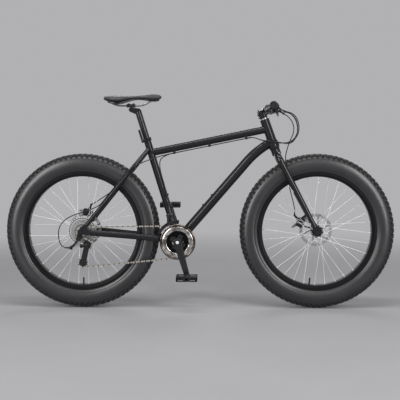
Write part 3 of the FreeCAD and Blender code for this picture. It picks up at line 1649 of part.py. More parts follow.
def chain_wheels(cage_angle):
    return [
        {"centre": rear_centre, "teeth": int(s.cog_teeth), "turn": -1},
        {"centre": bb_centre, "teeth": int(s.ring_teeth), "turn": -1},
        {"centre": guide_place + in_plane(cage_angle) * s.cage_length, "teeth": int(s.pulley_teeth),
         "turn": -1},
        {"centre": guide_place, "teeth": int(s.pulley_teeth), "turn": 1},
    ]


def heading_normal(heading):
    return Vector(-math.sin(heading), 0, math.cos(heading))


def chain_stretches(wheels):
    runs = []
    for here, there in zip(wheels, wheels[1:] + wheels[:1]):
        span = there["centre"] - here["centre"]
        offset = there["turn"] * pitch_radius(there["teeth"]) - here["turn"] * pitch_radius(here["teeth"])
        heading = math.atan2(span.z, span.x) - math.asin(offset / span.Length)
        runs.append((heading, math.sqrt(span.Length ** 2 - offset ** 2)))
    stretches = []
    for index, wheel in enumerate(wheels):
        heading_in = runs[index - 1][0]
        heading, length = runs[index]
        wrap = wheel["turn"] * (heading - heading_in) % (2 * math.pi)
        stretches.append({"wheel": wheel, "heading": heading_in,
                          "links": wrap * wheel["teeth"] / (2 * math.pi)})
        stretches.append({"wheel": wheel, "heading": heading, "links": length / s.chain_pitch,
                          "straight": True})
    return stretches


def link_count(cage_angle):
    return sum(stretch["links"] for stretch in chain_stretches(chain_wheels(cage_angle)))


def fitted_cage_angle():
    low = s.cage_angle - s.cage_search
    high = s.cage_angle + s.cage_search
    target = 2 * round(link_count(s.cage_angle) / 2)
    falling = link_count(low) > link_count(high)
    halvings = 60
    for attempt in range(halvings):
        middle = (low + high) / 2
        if (link_count(middle) > target) == falling:
            low = middle
        else:
            high = middle
    return (low + high) / 2, target


def chain_pins(wheels, count):
    pins = []
    reached = 0
    stretches = chain_stretches(wheels)
    for stretch in stretches:
        wheel = stretch["wheel"]
        radius = pitch_radius(wheel["teeth"])
        while len(pins) < count and len(pins) <= reached + stretch["links"]:
            step = len(pins) - reached
            if "straight" in stretch:
                start = wheel["centre"] - heading_normal(stretch["heading"]) * (wheel["turn"] * radius)
                forward = Vector(math.cos(stretch["heading"]), 0, math.sin(stretch["heading"]))
                pins.append(start + forward * (step * s.chain_pitch))
                continue
            heading = stretch["heading"] + wheel["turn"] * step * 2 * math.pi / wheel["teeth"]
            outward = heading_normal(heading) * -wheel["turn"]
            wheel.setdefault("phase", math.degrees(math.atan2(outward.z, outward.x)))
            pins.append(wheel["centre"] + outward * radius)
        reached += stretch["links"]
    return pins


def link_plate(inner_side):
    plate = strap(s.chain_pitch, s.link_end_radius, s.link_end_radius, s.link_plate)
    waist_share = 0.55
    depth = s.link_end_radius * waist_share
    scoop = s.chain_pitch / 2
    hollows = [cylinder(Vector(s.chain_pitch / 2, sign * (scoop + depth), 0), along_z, scoop, s.link_plate)
               for sign in sides.values()]
    plate = plate.cut(Part.makeCompound(hollows))
    lower = plate.copy()
    plate.translate(along_z * inner_side)
    lower.translate(along_z * (-inner_side - s.link_plate))
    return [plate, lower]


def inner_link():
    plates = link_plate(s.link_inner_gap / 2)
    half = s.link_inner_gap / 2
    rollers = []
    holes = []
    for place in (Vector(0, 0, 0), along_x * s.chain_pitch):
        rollers.append(cylinder(place - along_z * half, along_z, s.roller_radius, 2 * half))
        holes.append(cylinder(place - along_z * (2 * half), along_z, s.pin_radius + running_hole, 4 * half))
    return fused(*plates, *rollers).cut(Part.makeCompound(holes))


def outer_link():
    side = s.link_inner_gap / 2 + s.link_plate + s.link_plate_gap
    plates = link_plate(side)
    end = side + s.link_plate + s.pin_overhang
    pins = [cylinder(place - along_z * end, along_z, s.pin_radius, 2 * end)
            for place in (Vector(0, 0, 0), along_x * s.chain_pitch)]
    return fused(*plates, *pins)


def chain(pins):
    patterns = [inner_link(), outer_link()]
    links = []
    for index, (here, there) in enumerate(zip(pins, pins[1:] + pins[:1])):
        start = here - along_y * s.chain_line
        links.append(placed(patterns[index % 2], framed(start, (there - here).normalize(), along_y)))
    node(feature("chain", Part.makeCompound(links)), "chain")


cage_rest_angle, chain_links = fitted_cage_angle()
route = chain_wheels(cage_rest_angle)
pins = chain_pins(route, chain_links)
cog_wheel, ring_wheel, tension_wheel, guide_wheel = route
tension_place = tension_wheel["centre"]
chain(pins)


def chainrings():
    ring = sprocket(bb_centre - along_y * s.chain_line, int(s.ring_teeth), ring_wheel["phase"], s.ring_bore)
    inner = sprocket(bb_centre - along_y * s.inner_ring_side, int(s.inner_teeth), ring_wheel["phase"],
                     s.inner_ring_bore)
    guard = cylinder(bb_centre - along_y * (guard_face + s.guard_thickness), along_y, s.guard_radius,
                     s.guard_thickness)
    corners = [bb_centre + in_plane(270 + s.crank_lead_angle + index * spider_step) * s.guard_opening
               - along_y * (guard_face + s.guard_thickness) for index in range(int(s.spider_arms))]
    opening = polygon(corners).extrude(along_y * s.guard_thickness)
    edge_share = 0.3
    guard = guard.makeFillet(s.guard_thickness * edge_share, guard.Edges[:1] + guard.Edges[2:])
    guard = guard.cut(opening)
    ring_drills = []
    inner_drills = []
    bolts = []
    stack = guard_face + s.guard_thickness - s.chain_line + s.ring_thickness / 2
    for angle in spider_angles:
        outside = on_ring(angle, s.ring_bolt_circle, guard_face + s.guard_thickness)
        ring_drills.append(cylinder(outside, along_y, s.ring_bolt_radius + running_hole, stack))
        shank = cylinder(outside - along_y * s.ring_bolt_cap, along_y, s.ring_bolt_radius,
                         stack + 2 * s.ring_bolt_cap)
        cap = cylinder(outside - along_y * s.ring_bolt_cap, along_y, s.ring_bolt_head_radius,
                       s.ring_bolt_cap)
        nut = cylinder(outside + along_y * stack, along_y, s.ring_bolt_head_radius, s.ring_bolt_cap)
        bolts.append(fused(shank, cap, nut))
        foot = on_ring(angle, s.inner_bolt_circle, ring_face)
        length = ring_face - s.inner_ring_side + s.ring_thickness / 2
        inner_drills.append(cylinder(foot, along_y, s.bolt_radius + running_hole, length))
        head = cylinder(foot + along_y * length, along_y, s.bolt_head_radius, s.ring_bolt_cap)
        bolts.append(fused(cylinder(foot, along_y, s.bolt_radius, length), head))
    ring_drills = Part.makeCompound(ring_drills)
    rings = [ring.cut(ring_drills), inner.cut(Part.makeCompound(inner_drills)), guard.cut(ring_drills)]
    node(feature("chainrings", Part.makeCompound(rings + bolts)), "chainrings")


larger_cogs = [13, 15, 18, 21, 24, 28, 34]
cassette_teeth = [int(s.cog_teeth), *larger_cogs]


def cassette():
    bore = s.rear_end_radius + s.running_fit
    cogs = []
    for index, teeth in enumerate(cassette_teeth):
        place = rear_centre - along_y * (s.chain_line - index * s.cog_pitch)
        phase = cog_wheel["phase"]
        cogs.append(sprocket(place, teeth, phase, bore))
    start = rear_centre - along_y * (s.chain_line + s.ring_thickness / 2 + s.link_plate)
    length = (len(cassette_teeth) - 1) * s.cog_pitch + s.ring_thickness + s.link_plate
    core = annulus(start, along_y, s.cassette_core, bore, length)
    node(feature("cassette", fused(core, *cogs)), "cassette")


def pulley(label, place, phase):
    centre = place - along_y * s.chain_line
    bore = s.pulley_bore + s.running_fit
    hub_start = centre - along_y * (s.pulley_hub_width / 2)
    hub_ring = annulus(hub_start, along_y, s.pulley_hub_radius, bore, s.pulley_hub_width)
    node(feature(label, fused(sprocket(centre, int(s.pulley_teeth), phase, bore), hub_ring)), label)


crank_arms()
chainrings()
crank_axles()
for side, sign in sides.items():
    pedal(side, sign)
cassette()
pulley("guide_pulley", guide_place, guide_wheel["phase"])
pulley("tension_pulley", tension_place, tension_wheel["phase"])


# Rear derailleur: the slanted link swings on the mount and carries the cage knuckle

slant = math.radians(s.derailleur_slant)
shift_axis = Vector(0, math.sin(slant), math.cos(slant))
shift_motion = Vector(0, math.cos(slant), -math.sin(slant))
link_angle = math.radians(-s.link_rest_angle)
link_line = along_x * math.cos(link_angle) + shift_motion * math.sin(link_angle)
lower_pivot = guide_place - along_x * s.pivot_back - along_y * s.pivot_side
upper_pivot = lower_pivot - link_line * s.link_length


def pivot_lug(pivot):
    lug = cylinder(pivot - shift_axis * s.lug_depth, shift_axis, s.link_end_radius_side, s.lug_depth)
    pin = cylinder(pivot - shift_axis * s.lug_depth, shift_axis, s.link_pin_radius,
                   s.lug_depth + s.link_depth + 2 * s.seat_gap)
    return lug, pin


def eye_room(pivot):
    return cylinder(pivot, shift_axis, s.link_end_radius_side + s.seat_gap * 2, s.link_depth + s.overrun)


def derailleur_mount():
    side = s.rear_hub_width / 2 + s.dropout_thickness
    start = hanger_place - along_y * (side + s.seat_gap)
    knuckle = cylinder(start, along_y * -1, s.knuckle_radius, s.knuckle_length)
    bolt = cylinder(start + along_y * (s.seat_gap + s.dropout_thickness), along_y * -1,
                    s.pedal_axle_radius - running_hole, s.dropout_thickness + s.seat_gap + s.overrun)
    lug, pin = pivot_lug(upper_pivot)
    lug_middle = upper_pivot - shift_axis * (s.lug_depth / 2)
    turn = math.radians(-s.arm_elbow_angle)
    elbow = lug_middle + (along_x * math.cos(turn) + shift_motion * math.sin(turn)) * s.arm_elbow
    arm = pipe([lug_middle, elbow, start - along_y * (s.knuckle_length / 2)], s.arm_radius)
    stop = cylinder(lug_middle, along_x * -1, s.stop_radius, s.link_end_radius_side + s.stop_length)
    shape = fused(fused(knuckle, bolt, lug, arm, stop).cut(eye_room(upper_pivot)), pin)
    node(feature("rear_derailleur_mount", shape), "rear_derailleur_mount")


def derailleur_link():
    blade = strap(s.link_length, s.link_end_radius_side, s.link_end_radius_side, s.link_depth)
    blade = placed(blade, framed(upper_pivot + shift_axis * s.seat_gap, link_line, shift_axis))
    holes = [cylinder(pivot, shift_axis, s.link_pin_radius + s.running_fit, s.link_depth + s.overrun)
             for pivot in (upper_pivot, lower_pivot)]
    node(feature("rear_derailleur_link", blade.cut(Part.makeCompound(holes))), "rear_derailleur_link")


def derailleur_knuckle():
    start = guide_place - along_y * s.cage_knuckle_side
    body = cylinder(start, along_y * -1, s.knuckle_radius, s.cage_knuckle_length)
    lug, pin = pivot_lug(lower_pivot)
    lug_middle = lower_pivot - shift_axis * (s.lug_depth / 2)
    body_middle = Vector(guide_place.x, lower_pivot.y, guide_place.z)
    arm = cylinder(lug_middle, (body_middle - lug_middle).normalize(), s.arm_radius,
                   (body_middle - lug_middle).Length)
    bore = cylinder(start, along_y * -1, s.cage_shaft_radius + s.running_fit,
                    s.cage_shaft_length + s.overrun)
    shape = fused(fused(body, lug, arm).cut(eye_room(lower_pivot)).cut(bore), pin)
    node(feature("rear_derailleur_knuckle", shape), "rear_derailleur_knuckle")


def derailleur_cage():
    outer = s.chain_line + s.cage_gap
    inner = -s.chain_line + s.cage_gap
    plates = [side_strap(guide_place, tension_place, s.cage_end_radius, s.cage_end_radius, side,
                         s.cage_plate)
              for side in (-outer - s.cage_plate, inner)]
    pieces = []
    for place in (guide_place, tension_place):
        start = place - along_y * (outer + s.cage_plate)
        pieces.append(cylinder(start, along_y, s.pulley_bore, 2 * (s.cage_gap + s.cage_plate)))
    shaft_start = guide_place - along_y * outer
    shaft_length = s.cage_knuckle_side - outer + s.cage_shaft_length
    pieces.append(cylinder(shaft_start, along_y * -1, s.cage_shaft_radius, shaft_length))
    node(feature("rear_derailleur_cage", fused(*plates, *pieces)), "rear_derailleur_cage")


derailleur_mount()
derailleur_link()
derailleur_knuckle()
derailleur_cage()


# Front derailleur: a cage that swings on a clamp on the seat tube

clamp_centre = bb_centre + seat_up * s.front_clamp_level
front_pivot = clamp_centre - along_y * s.front_pivot_side + along_z * s.front_pivot_rise


def front_mount():
    start = clamp_centre - seat_up * (s.front_clamp_height / 2)
    ring = annulus(start, seat_up, s.front_clamp_radius, s.seat_tube_radius + s.running_fit,
                   s.front_clamp_height)
    foot = clamp_centre - along_y * (s.seat_tube_radius + s.overrun / 2)
    line = front_pivot - foot
    arm = cylinder(foot, line.normalize(), s.front_arm_thickness, (front_pivot - foot).Length)
    half = s.front_lug_half
    lug = cylinder(front_pivot - along_x * half, along_x, s.front_lug_radius, 2 * half)
    reach = half + s.seat_gap + s.front_lug_width
    room_radius = s.front_lug_radius + s.front_lug_room
    room = Part.makeCompound([cylinder(front_pivot + along_x * (sign * half), along_x * sign,
                                       room_radius, reach) for sign in sides.values()])
    pin = cylinder(front_pivot - along_x * reach, along_x, s.front_pivot_radius, 2 * reach)
    tube_room = cylinder(start - seat_up * s.overrun, seat_up, s.seat_tube_radius + s.running_fit,
                         s.front_clamp_height + 2 * s.overrun)
    shape = fused(fused(ring, arm).cut(room).cut(tube_room), lug, pin)
    node(feature("front_derailleur_mount", shape), "front_derailleur_mount")


def ring_sector(inner, outer, first, last, side, width):
    def point(radius, angle):
        return on_ring(angle, radius, side)

    middle = (first + last) / 2
    edges = [
        Part.Arc(point(outer, first), point(outer, middle), point(outer, last)).toShape(),
        Part.LineSegment(point(outer, last), point(inner, last)).toShape(),
        Part.Arc(point(inner, last), point(inner, middle), point(inner, first)).toShape(),
        Part.LineSegment(point(inner, first), point(outer, first)).toShape(),
    ]
    return closed_face(edges).extrude(along_y * width)


def front_cage():
    outer_side = s.chain_line + s.front_cage_gap / 2
    inner_side = s.chain_line - s.front_cage_gap / 2
    plate = s.front_cage_plate
    first = s.front_cage_start
    last = s.front_cage_end
    plates = [ring_sector(s.front_cage_inner, s.front_cage_outer, first, last, side, plate)
              for side in (outer_side + plate, inner_side)]
    tail_share = 0.08
    tail = (last - first) * tail_share
    width = s.front_cage_gap + 2 * plate
    thin = s.front_cage_outer - s.front_bridge
    bridges = [ring_sector(thin, s.front_cage_outer, begin, begin + length, outer_side + plate, width)
               for begin, length in ((first, (last - first) / 2), (last - tail, tail))]
    lugs = []
    middle_side = inner_side - plate / 2
    middle_radius = (s.front_cage_inner + s.front_cage_outer) / 2
    for start_x in (front_pivot.x + s.front_lug_half + s.seat_gap,
                    front_pivot.x - s.front_lug_half - s.seat_gap - s.front_lug_width):
        run = start_x + s.front_lug_width / 2 - bb_centre.x
        target = Vector(start_x, -middle_side, bb_centre.z + math.sqrt(middle_radius ** 2 - run ** 2))
        start = Vector(start_x, front_pivot.y, front_pivot.z)
        blade = strap((target - start).Length, s.front_lug_radius, s.front_lug_half, s.front_lug_width)
        lugs.append(placed(blade, framed(start, (target - start).normalize(), along_x)))
    reach = 2 * (s.front_lug_half + s.front_lug_width)
    hole = cylinder(front_pivot - along_x * reach, along_x, s.front_pivot_radius + s.running_fit, 2 * reach)
    node(feature("front_derailleur_cage", fused(*plates, *bridges, *lugs).cut(hole)),
         "front_derailleur_cage")


front_mount()
front_cage()


# Disc brake calipers with a cable arm each

def caliper(prefix, wheel_centre, anchor, holder):
    rotor_side = value(f"{prefix}_rotor_offset")
    radial = in_plane(value(f"{prefix}_caliper_angle"))
    place = wheel_centre + radial * s.caliper_reach
    frame = framed(place + along_y * rotor_side, radial, along_y)
    half_length = s.caliper_length / 2
    half_height = s.caliper_height / 2
    corner = Vector(-half_height, -half_length, -s.caliper_inner_side)
    body = Part.makeBox(s.caliper_height, s.caliper_length, s.caliper_width, corner)
    upright = [edge for edge in body.Edges if edge.BoundBox.ZLength > s.caliper_width / 2]
    body = body.makeFillet(s.caliper_corner, upright)
    depth = s.rotor_radius + s.overrun - s.caliper_reach + half_height
    slot_corner = Vector(-half_height, -half_length, -s.caliper_slot / 2)
    slot = Part.makeBox(depth, s.caliper_length, s.caliper_slot, slot_corner)
    pad_place = s.rotor_radius - s.caliper_pad_radius - s.caliper_reach
    pad_gap = s.rotor_thickness / 2 + s.caliper_pad_gap
    pads = [cylinder(Vector(pad_place, 0, sign * pad_gap), along_z * sign, s.caliper_pad_radius,
                     s.caliper_slot / 2 - pad_gap + s.running_fit) for sign in sides.values()]
    shape = placed(fused(body.cut(slot), *pads), frame)
    face = rotor_side + s.caliper_width - s.caliper_inner_side
    bracket_side = rotor_side + s.caliper_inner_side / 2
    bracket = side_strap(place, anchor, s.caliper_inner_side, s.dropout_stay_radius, bracket_side,
                         s.caliper_bracket).cut(holder)
    stop = place + Vector(value(f"{prefix}_stop_run"), 0, value(f"{prefix}_stop_rise"))
    rib = side_strap(place, stop, s.caliper_arm_root, s.stop_radius, face - s.caliper_rib, s.caliper_rib)
    pin = cylinder(place + along_y * (face - s.overrun), along_y, s.caliper_pin_radius,
                   s.overrun + s.seat_gap * 2 + s.caliper_arm_thickness)
    arm_line = in_plane(value(f"{prefix}_arm_angle"))
    tip = place + arm_line * s.caliper_arm_length
    wire_line = (stop - tip).normalize()
    wire_side = along_y * (face + s.caliper_arm_thickness / 2)
    barrel = cylinder(stop + wire_side - wire_line * (s.stop_length / 2), wire_line, s.stop_radius,
                      s.stop_length)
    node(feature(f"{prefix}_caliper", fused(shape, bracket, rib, pin, barrel)), f"{prefix}_caliper")
    arm = side_strap(place, tip, s.caliper_arm_root, s.caliper_arm_tip, face + s.seat_gap,
                     s.caliper_arm_thickness)
    arm = arm.cut(cylinder(place + along_y * face, along_y, s.caliper_pin_radius + s.running_fit,
                           s.caliper_arm_thickness + s.overrun))
    node(feature(f"{prefix}_brake_arm", arm), f"{prefix}_brake_arm")
    return {"pivot": place + along_y * face, "tip": tip + wire_side, "line": wire_line,
            "cable": stop + wire_side + wire_line * (s.stop_length / 2 + s.seat_gap)}


leg_anchor = front_centre - leg_line * s.bracket_reach
stay_anchor = rear_centre + in_plane(s.seatstay_angle) * s.bracket_reach
front_brake = caliper("front", front_centre, leg_anchor, leg_left)
rear_brake = caliper("rear", rear_centre, stay_anchor, mirrored(solid_stay))


# Control cables

top_line_start = bb_centre + seat_up * s.top_tube_seat_level
top_line = (on_steer(s.top_tube_head_level) - top_line_start).normalize()
top_under = Vector(top_line.z, 0, -top_line.x)
lanes = {"shift": -s.cable_spread, "front_shift": 0, "brake": s.cable_spread}


def under_top_tube(run, side):
    return top_line_start + top_line * run + top_under * (s.top_tube_radius + s.cable_drop) + along_y * side


def cable_guides():
    solids = []
    half = s.cable_spread + s.cable_radius + s.guide_wall
    for run in (s.guide_front_run, s.guide_middle_run, s.guide_rear_run):
        start = top_line_start + top_line * (run - s.guide_length / 2)
        depth = s.top_tube_radius + s.cable_drop + s.cable_radius + s.guide_wall
        block_shape = placed(Part.makeBox(depth, 2 * half, s.guide_length, Vector(0, -half, 0)),
                             framed(start, top_under, top_line))
        bores = [cylinder(under_top_tube(run - s.guide_length, side), top_line, s.cable_radius + s.seat_gap,
                          2 * s.guide_length) for side in lanes.values()]
        tube_room = cylinder(start - top_line * s.overrun, top_line, s.top_tube_radius,
                             s.guide_length + 2 * s.overrun)
        solids.append(block_shape.cut(tube_room).cut(Part.makeCompound(bores)))
    node(feature("cable_guides", Part.makeCompound(solids)), "cable_guides")


def beside_stay(share, sign):
    foot, knee = seatstay_points()[:2]
    place = foot + (knee - foot) * share
    upper = in_plane(s.seatstay_angle + 90)
    offset = (upper - along_y).normalize() * s.stay_cable_gap
    point = place + offset
    return Vector(point.x, -point.y * sign, point.z)


def frame_cables():
    front_end = s.guide_front_run + s.guide_length
    rear_end = s.guide_rear_run - s.guide_length * 5

    def past_seat_tube(sign):
        beside = bb_centre + seat_up * s.seat_cable_level + along_y * (sign * s.seat_cable_side)
        bend = rear_centre + in_plane(s.seatstay_angle) * s.bend_cable_level
        return [beside, bend + along_y * (sign * s.bend_cable_side)]

    stay_high_share, stay_low_share, stay_brake_share = 0.86, 0.28, 0.55
    mount_end = upper_pivot - shift_axis * (s.lug_depth / 2) - along_x * (
        s.link_end_radius_side + s.stop_length + s.seat_gap)
    loop_side = along_y * -s.shift_loop_side
    loop = [
        Vector(rear_centre.x - s.shift_loop_back, 0, rear_centre.z + s.shift_loop_high) + loop_side,
        Vector(rear_centre.x - s.shift_loop_back, 0, mount_end.z) + loop_side,
    ]
    shift = [under_top_tube(front_end, lanes["shift"]), under_top_tube(rear_end, lanes["shift"]),
             *past_seat_tube(-1),
             beside_stay(stay_high_share, -1), beside_stay(stay_low_share, -1), *loop, mount_end]
    lead = rear_brake["cable"] + rear_brake["line"] * s.loop_lead
    brake = [under_top_tube(front_end, lanes["brake"]), under_top_tube(rear_end, lanes["brake"]),
             *past_seat_tube(1),
             beside_stay(stay_high_share, 1), beside_stay(stay_brake_share, 1), lead, rear_brake["cable"]]
    corner_share, low_share = 0.88, 0.5
    ahead = seat_back * -s.seat_tube_radius - along_y * s.front_clamp_radius
    front_rise = s.front_arm_thickness + s.front_pivot_rise
    front_end_place = clamp_centre - along_y * s.front_cable_side + seat_up * front_rise
    front_shift = [under_top_tube(front_end, lanes["front_shift"]), under_top_tube(rear_end,
                                                                                   lanes["front_shift"]),
                   bb_centre + seat_up * (s.top_tube_seat_level * corner_share) + ahead,
                   bb_centre + seat_up * (s.top_tube_seat_level * low_share) + ahead, front_end_place]
    routes = [shift, brake, front_shift]
    solids = [pipe(points, s.cable_radius) for points in routes]
    node(feature("frame_cables", Part.makeCompound(solids)), "frame_cables")


def lever_exit(sign):
    barrel_x = s.lever_pivot_reach - s.lever_root_radius - s.overrun - s.cable_radius * 2
    barrel_end = s.lever_root_radius + s.barrel_length + s.seat_gap
    points = [lever_frame.multVec(Vector(barrel_x, -barrel_end - lead, 0)) for lead in (0, s.loop_lead)]
    return [Vector(point.x, -point.y * sign, point.z) for point in points]


def pod_exit(sign):
    depth = s.bar_radius + s.lever_mount_wall + s.pod_height / 2
    points = [pod_frame.multVec(Vector(depth, -s.pod_radius - s.seat_gap - lead, s.pod_forward))
              for lead in (0, s.loop_lead)]
    return [Vector(point.x, -point.y * sign, point.z) for point in points]


def head_loop(start, sign, row, lane):
    shift = row * s.cable_spread
    side = sign * (s.loop_side + shift)
    wide_share, middle_share = 1.6, 1.3
    return [
        *start,
        on_steer(s.loop_top_level - shift, s.loop_top_forward - shift, side * wide_share),
        on_steer(s.loop_middle_level, s.loop_top_forward - shift, side * middle_share),
        on_steer(s.loop_bottom_level - shift, s.loop_bottom_forward - shift, side),
        on_steer(s.loop_head_level + shift, s.loop_head_forward, side),
        on_steer(s.loop_tail_level, -s.loop_tail_back, side * wide_share / 2),
        under_top_tube(s.guide_front_run + s.guide_length * 3, lanes[lane]),
        under_top_tube(s.guide_front_run + s.guide_length + s.seat_gap, lanes[lane]),
    ]


def control_cable_loops():
    loops = [head_loop(pod_exit(-1), -1, 0, "shift"), head_loop(lever_exit(-1), -1, 1, "brake"),
             head_loop(pod_exit(1), 1, 0, "front_shift")]
    solids = [pipe(points, s.cable_radius) for points in loops]
    node(feature("control_cable_loops", Part.makeCompound(solids)), "control_cable_loops")


def front_brake_cable():
    beside_leg_share, low_leg_share = 0.9, 0.55
    leg_start = front_centre + along_y * s.brake_drop_side
    leg_length = s.crown_level
    back = 2 * s.cable_spread
    points = [
        *lever_exit(1),
        on_steer(s.loop_top_level - back, s.loop_top_forward - back, s.brake_drop_side),
        on_steer(s.loop_middle_level, s.loop_top_forward - back, s.brake_drop_side),
        on_steer(s.loop_bottom_level, s.loop_bottom_forward - back, s.brake_drop_side),
        leg_start - leg_line * (leg_length * beside_leg_share) + steer_forward * s.brake_drop_forward / 2,
        leg_start - leg_line * (leg_length * low_leg_share) - steer_forward * (s.brake_drop_forward / 2),
        front_brake["cable"] + front_brake["line"] * s.loop_lead,
        front_brake["cable"],
    ]
    node(feature("front_brake_cable", pipe(points, s.cable_radius)), "front_brake_cable")


cable_guides()
frame_cables()
control_cable_loops()
front_brake_cable()


# Everything is checked before it is written

doc.recompute()
for item in doc.Objects:
    if "Invalid" in item.State or "Error" in item.State:
        raise RuntimeError(f"{item.Name} failed: {item.State}")
for item in nodes:
    if item.Shape.isNull() or not item.Shape.isValid() or not item.Shape.Solids:
        raise RuntimeError(f"{item.Label} has no valid shape")
os.makedirs("parts", exist_ok=True)
for item in nodes:
    item.Shape.exportStep(f"parts/{item.Label}.step")
    print(item.Label, len(item.Shape.Solids), round(item.Shape.Volume))
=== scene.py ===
import math

import bmesh
import bpy
from mathutils import Matrix, Vector


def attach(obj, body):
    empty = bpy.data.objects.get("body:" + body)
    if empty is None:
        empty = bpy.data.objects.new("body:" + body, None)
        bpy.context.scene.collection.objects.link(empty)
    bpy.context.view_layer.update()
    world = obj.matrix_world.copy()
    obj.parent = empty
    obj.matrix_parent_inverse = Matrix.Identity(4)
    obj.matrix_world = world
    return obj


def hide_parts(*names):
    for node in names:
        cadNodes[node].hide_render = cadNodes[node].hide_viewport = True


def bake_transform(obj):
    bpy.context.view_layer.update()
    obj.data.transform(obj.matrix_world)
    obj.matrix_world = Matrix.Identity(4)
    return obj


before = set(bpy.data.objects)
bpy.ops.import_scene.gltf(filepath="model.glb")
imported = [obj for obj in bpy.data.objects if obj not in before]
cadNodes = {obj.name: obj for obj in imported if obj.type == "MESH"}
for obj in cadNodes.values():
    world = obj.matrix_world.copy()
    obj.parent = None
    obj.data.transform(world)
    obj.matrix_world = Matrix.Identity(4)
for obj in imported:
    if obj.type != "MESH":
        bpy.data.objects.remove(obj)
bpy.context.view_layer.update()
axleX = 0.5675
axleZ = 0.375
crankX = -0.1035
crankZ = 0.327
materials = {}
print("frame loaded")


class Wire:
    def __init__(self, tree, socket=None):
        self.tree = tree
        self.socket = socket

    def add(self, kind, inputs=None, output=0, **settings):
        made = self.tree.nodes.new("ShaderNode" + kind)
        for name, value in settings.items():
            setattr(made, name, value)
        for key, value in (inputs or {}).items():
            if isinstance(value, Wire):
                self.tree.links.new(value.socket, made.inputs[key])
            else:
                made.inputs[key].default_value = value
        return Wire(self.tree, made.outputs[output])

    def maths(self, operation, first, second=0.0):
        return self.add("Math", {0: first, 1: second}, operation=operation)

    def __add__(self, other):
        return self.maths("ADD", self, other)

    def __sub__(self, other):
        return self.maths("SUBTRACT", self, other)

    def __rsub__(self, other):
        return self.maths("SUBTRACT", other, self)

    def __mul__(self, other):
        return self.maths("MULTIPLY", self, other)

    def __pow__(self, other):
        return self.maths("POWER", self, other)

    def __abs__(self):
        return self.maths("ABSOLUTE", self)


def newMaterial(name, constants):
    material = bpy.data.materials.new(name)
    material.use_nodes = True
    shader = material.node_tree.nodes["Principled BSDF"]
    for socket, value in constants.items():
        shader.inputs[socket].default_value = value
    materials[name] = material
    return shader, Wire(material.node_tree).add("TexCoord", output="Object")


def connect(shader, wires):
    for socket, wire in wires.items():
        wire.tree.links.new(wire.socket, shader.inputs[socket])


def noise(place, scale, detail):
    return place.add("TexNoise", {"Vector": place, "Scale": scale, "Detail": detail})


def cells(place, scale, feature="F1"):
    return place.add("TexVoronoi", {"Vector": place, "Scale": scale}, feature=feature)


def stretched(place, scales):
    return place.add("Mapping", {"Vector": place, "Scale": scales})


def ramp(wire, low, high):
    return wire.add("MapRange", {"Value": wire, "From Min": low, "From Max": high},
                    interpolation_type="SMOOTHSTEP")


def clouds(place, scale, detail, low, high):
    return ramp(noise(place, scale, detail), low, high)


def mixed(factor, first, second):
    def colour(value):
        return value if isinstance(value, Wire) else (*value, 1.0)
    return factor.add("Mix", {0: factor, 6: colour(first), 7: colour(second)}, output=2, data_type="RGBA")


def between(factor, limits):
    low, high = limits
    return factor * (high - low) + low


def bumped(height, strength, distance):
    return height.add("Bump", {"Height": height, "Strength": strength, "Distance": distance})


def split(place):
    return [place.add("SeparateXYZ", {"Vector": place}, output=axis) for axis in ("X", "Y", "Z")]


def fromAxis(place, x, z, bothWheels=False):
    acrossX, _, upZ = split(place)
    run = (abs(acrossX) if bothWheels else acrossX) - x
    rise = upZ - z
    return (run * run + rise * rise) ** 0.5


def ringNoise(radius, scale):
    return radius.add("TexNoise", {"W": radius, "Scale": scale, "Detail": 4.0}, noise_dimensions="1D")


coatLook = {"cloud": (9.0, 5.0, 0.3, 0.7), "cloudShare": 0.6, "speckDetail": 2.0, "dulling": (31.0, 4.0)}
coats = {
    "frame_paint": {
        "dark": (0.0045, 0.0042, 0.0055), "light": (0.0095, 0.009, 0.0115), "rough": (0.30, 0.38),
        "grain": 1400, "bump": 0.015, "depth": 0.0001,
        "constants": {"Coat Weight": 0.45, "Coat Roughness": 0.09, "Specular IOR Level": 0.2}},
    "gloss_black": {
        "dark": (0.0040, 0.0040, 0.0045), "light": (0.008, 0.008, 0.009), "rough": (0.22, 0.30),
        "grain": 1400, "bump": 0.012, "depth": 0.0001,
        "constants": {"Coat Weight": 0.8, "Coat Roughness": 0.07, "Specular IOR Level": 0.15}},
    "cockpit_black": {
        "dark": (0.005, 0.005, 0.006), "light": (0.012, 0.012, 0.013), "rough": (0.22, 0.32),
        "grain": 1100, "bump": 0.04, "depth": 0.0002, "constants": {"Specular IOR Level": 0.45}},
    "crank_black": {
        "dark": (0.006, 0.006, 0.007), "light": (0.014, 0.014, 0.015), "rough": (0.20, 0.28),
        "grain": 900, "bump": 0.04, "depth": 0.0002, "constants": {"Specular IOR Level": 0.55}},
    "hub_black": {
        "dark": (0.006, 0.006, 0.007), "light": (0.014, 0.014, 0.015), "rough": (0.18, 0.28),
        "grain": 900, "bump": 0.04, "depth": 0.0002, "constants": {"Specular IOR Level": 0.45}},
    "rim_black": {
        "dark": (0.0035, 0.0035, 0.004), "light": (0.008, 0.008, 0.009), "rough": (0.26, 0.36),
        "grain": 800, "bump": 0.05, "depth": 0.0002, "constants": {"Specular IOR Level": 0.25}},
    "black_plastic": {
        "dark": (0.006, 0.006, 0.007), "light": (0.013, 0.013, 0.014), "rough": (0.34, 0.48),
        "grain": 650, "bump": 0.12, "depth": 0.0003, "constants": {"Specular IOR Level": 0.4}},
    "cable_black": {
        "dark": (0.006, 0.006, 0.007), "light": (0.013, 0.013, 0.014), "rough": (0.26, 0.38),
        "grain": 500, "bump": 0.06, "depth": 0.0002, "constants": {"Specular IOR Level": 0.4}},
    "tube_rubber": {
        "dark": (0.008, 0.008, 0.008), "light": (0.015, 0.015, 0.015), "rough": (0.55, 0.7),
        "grain": 500, "bump": 0.12, "depth": 0.0003, "constants": {}},
}
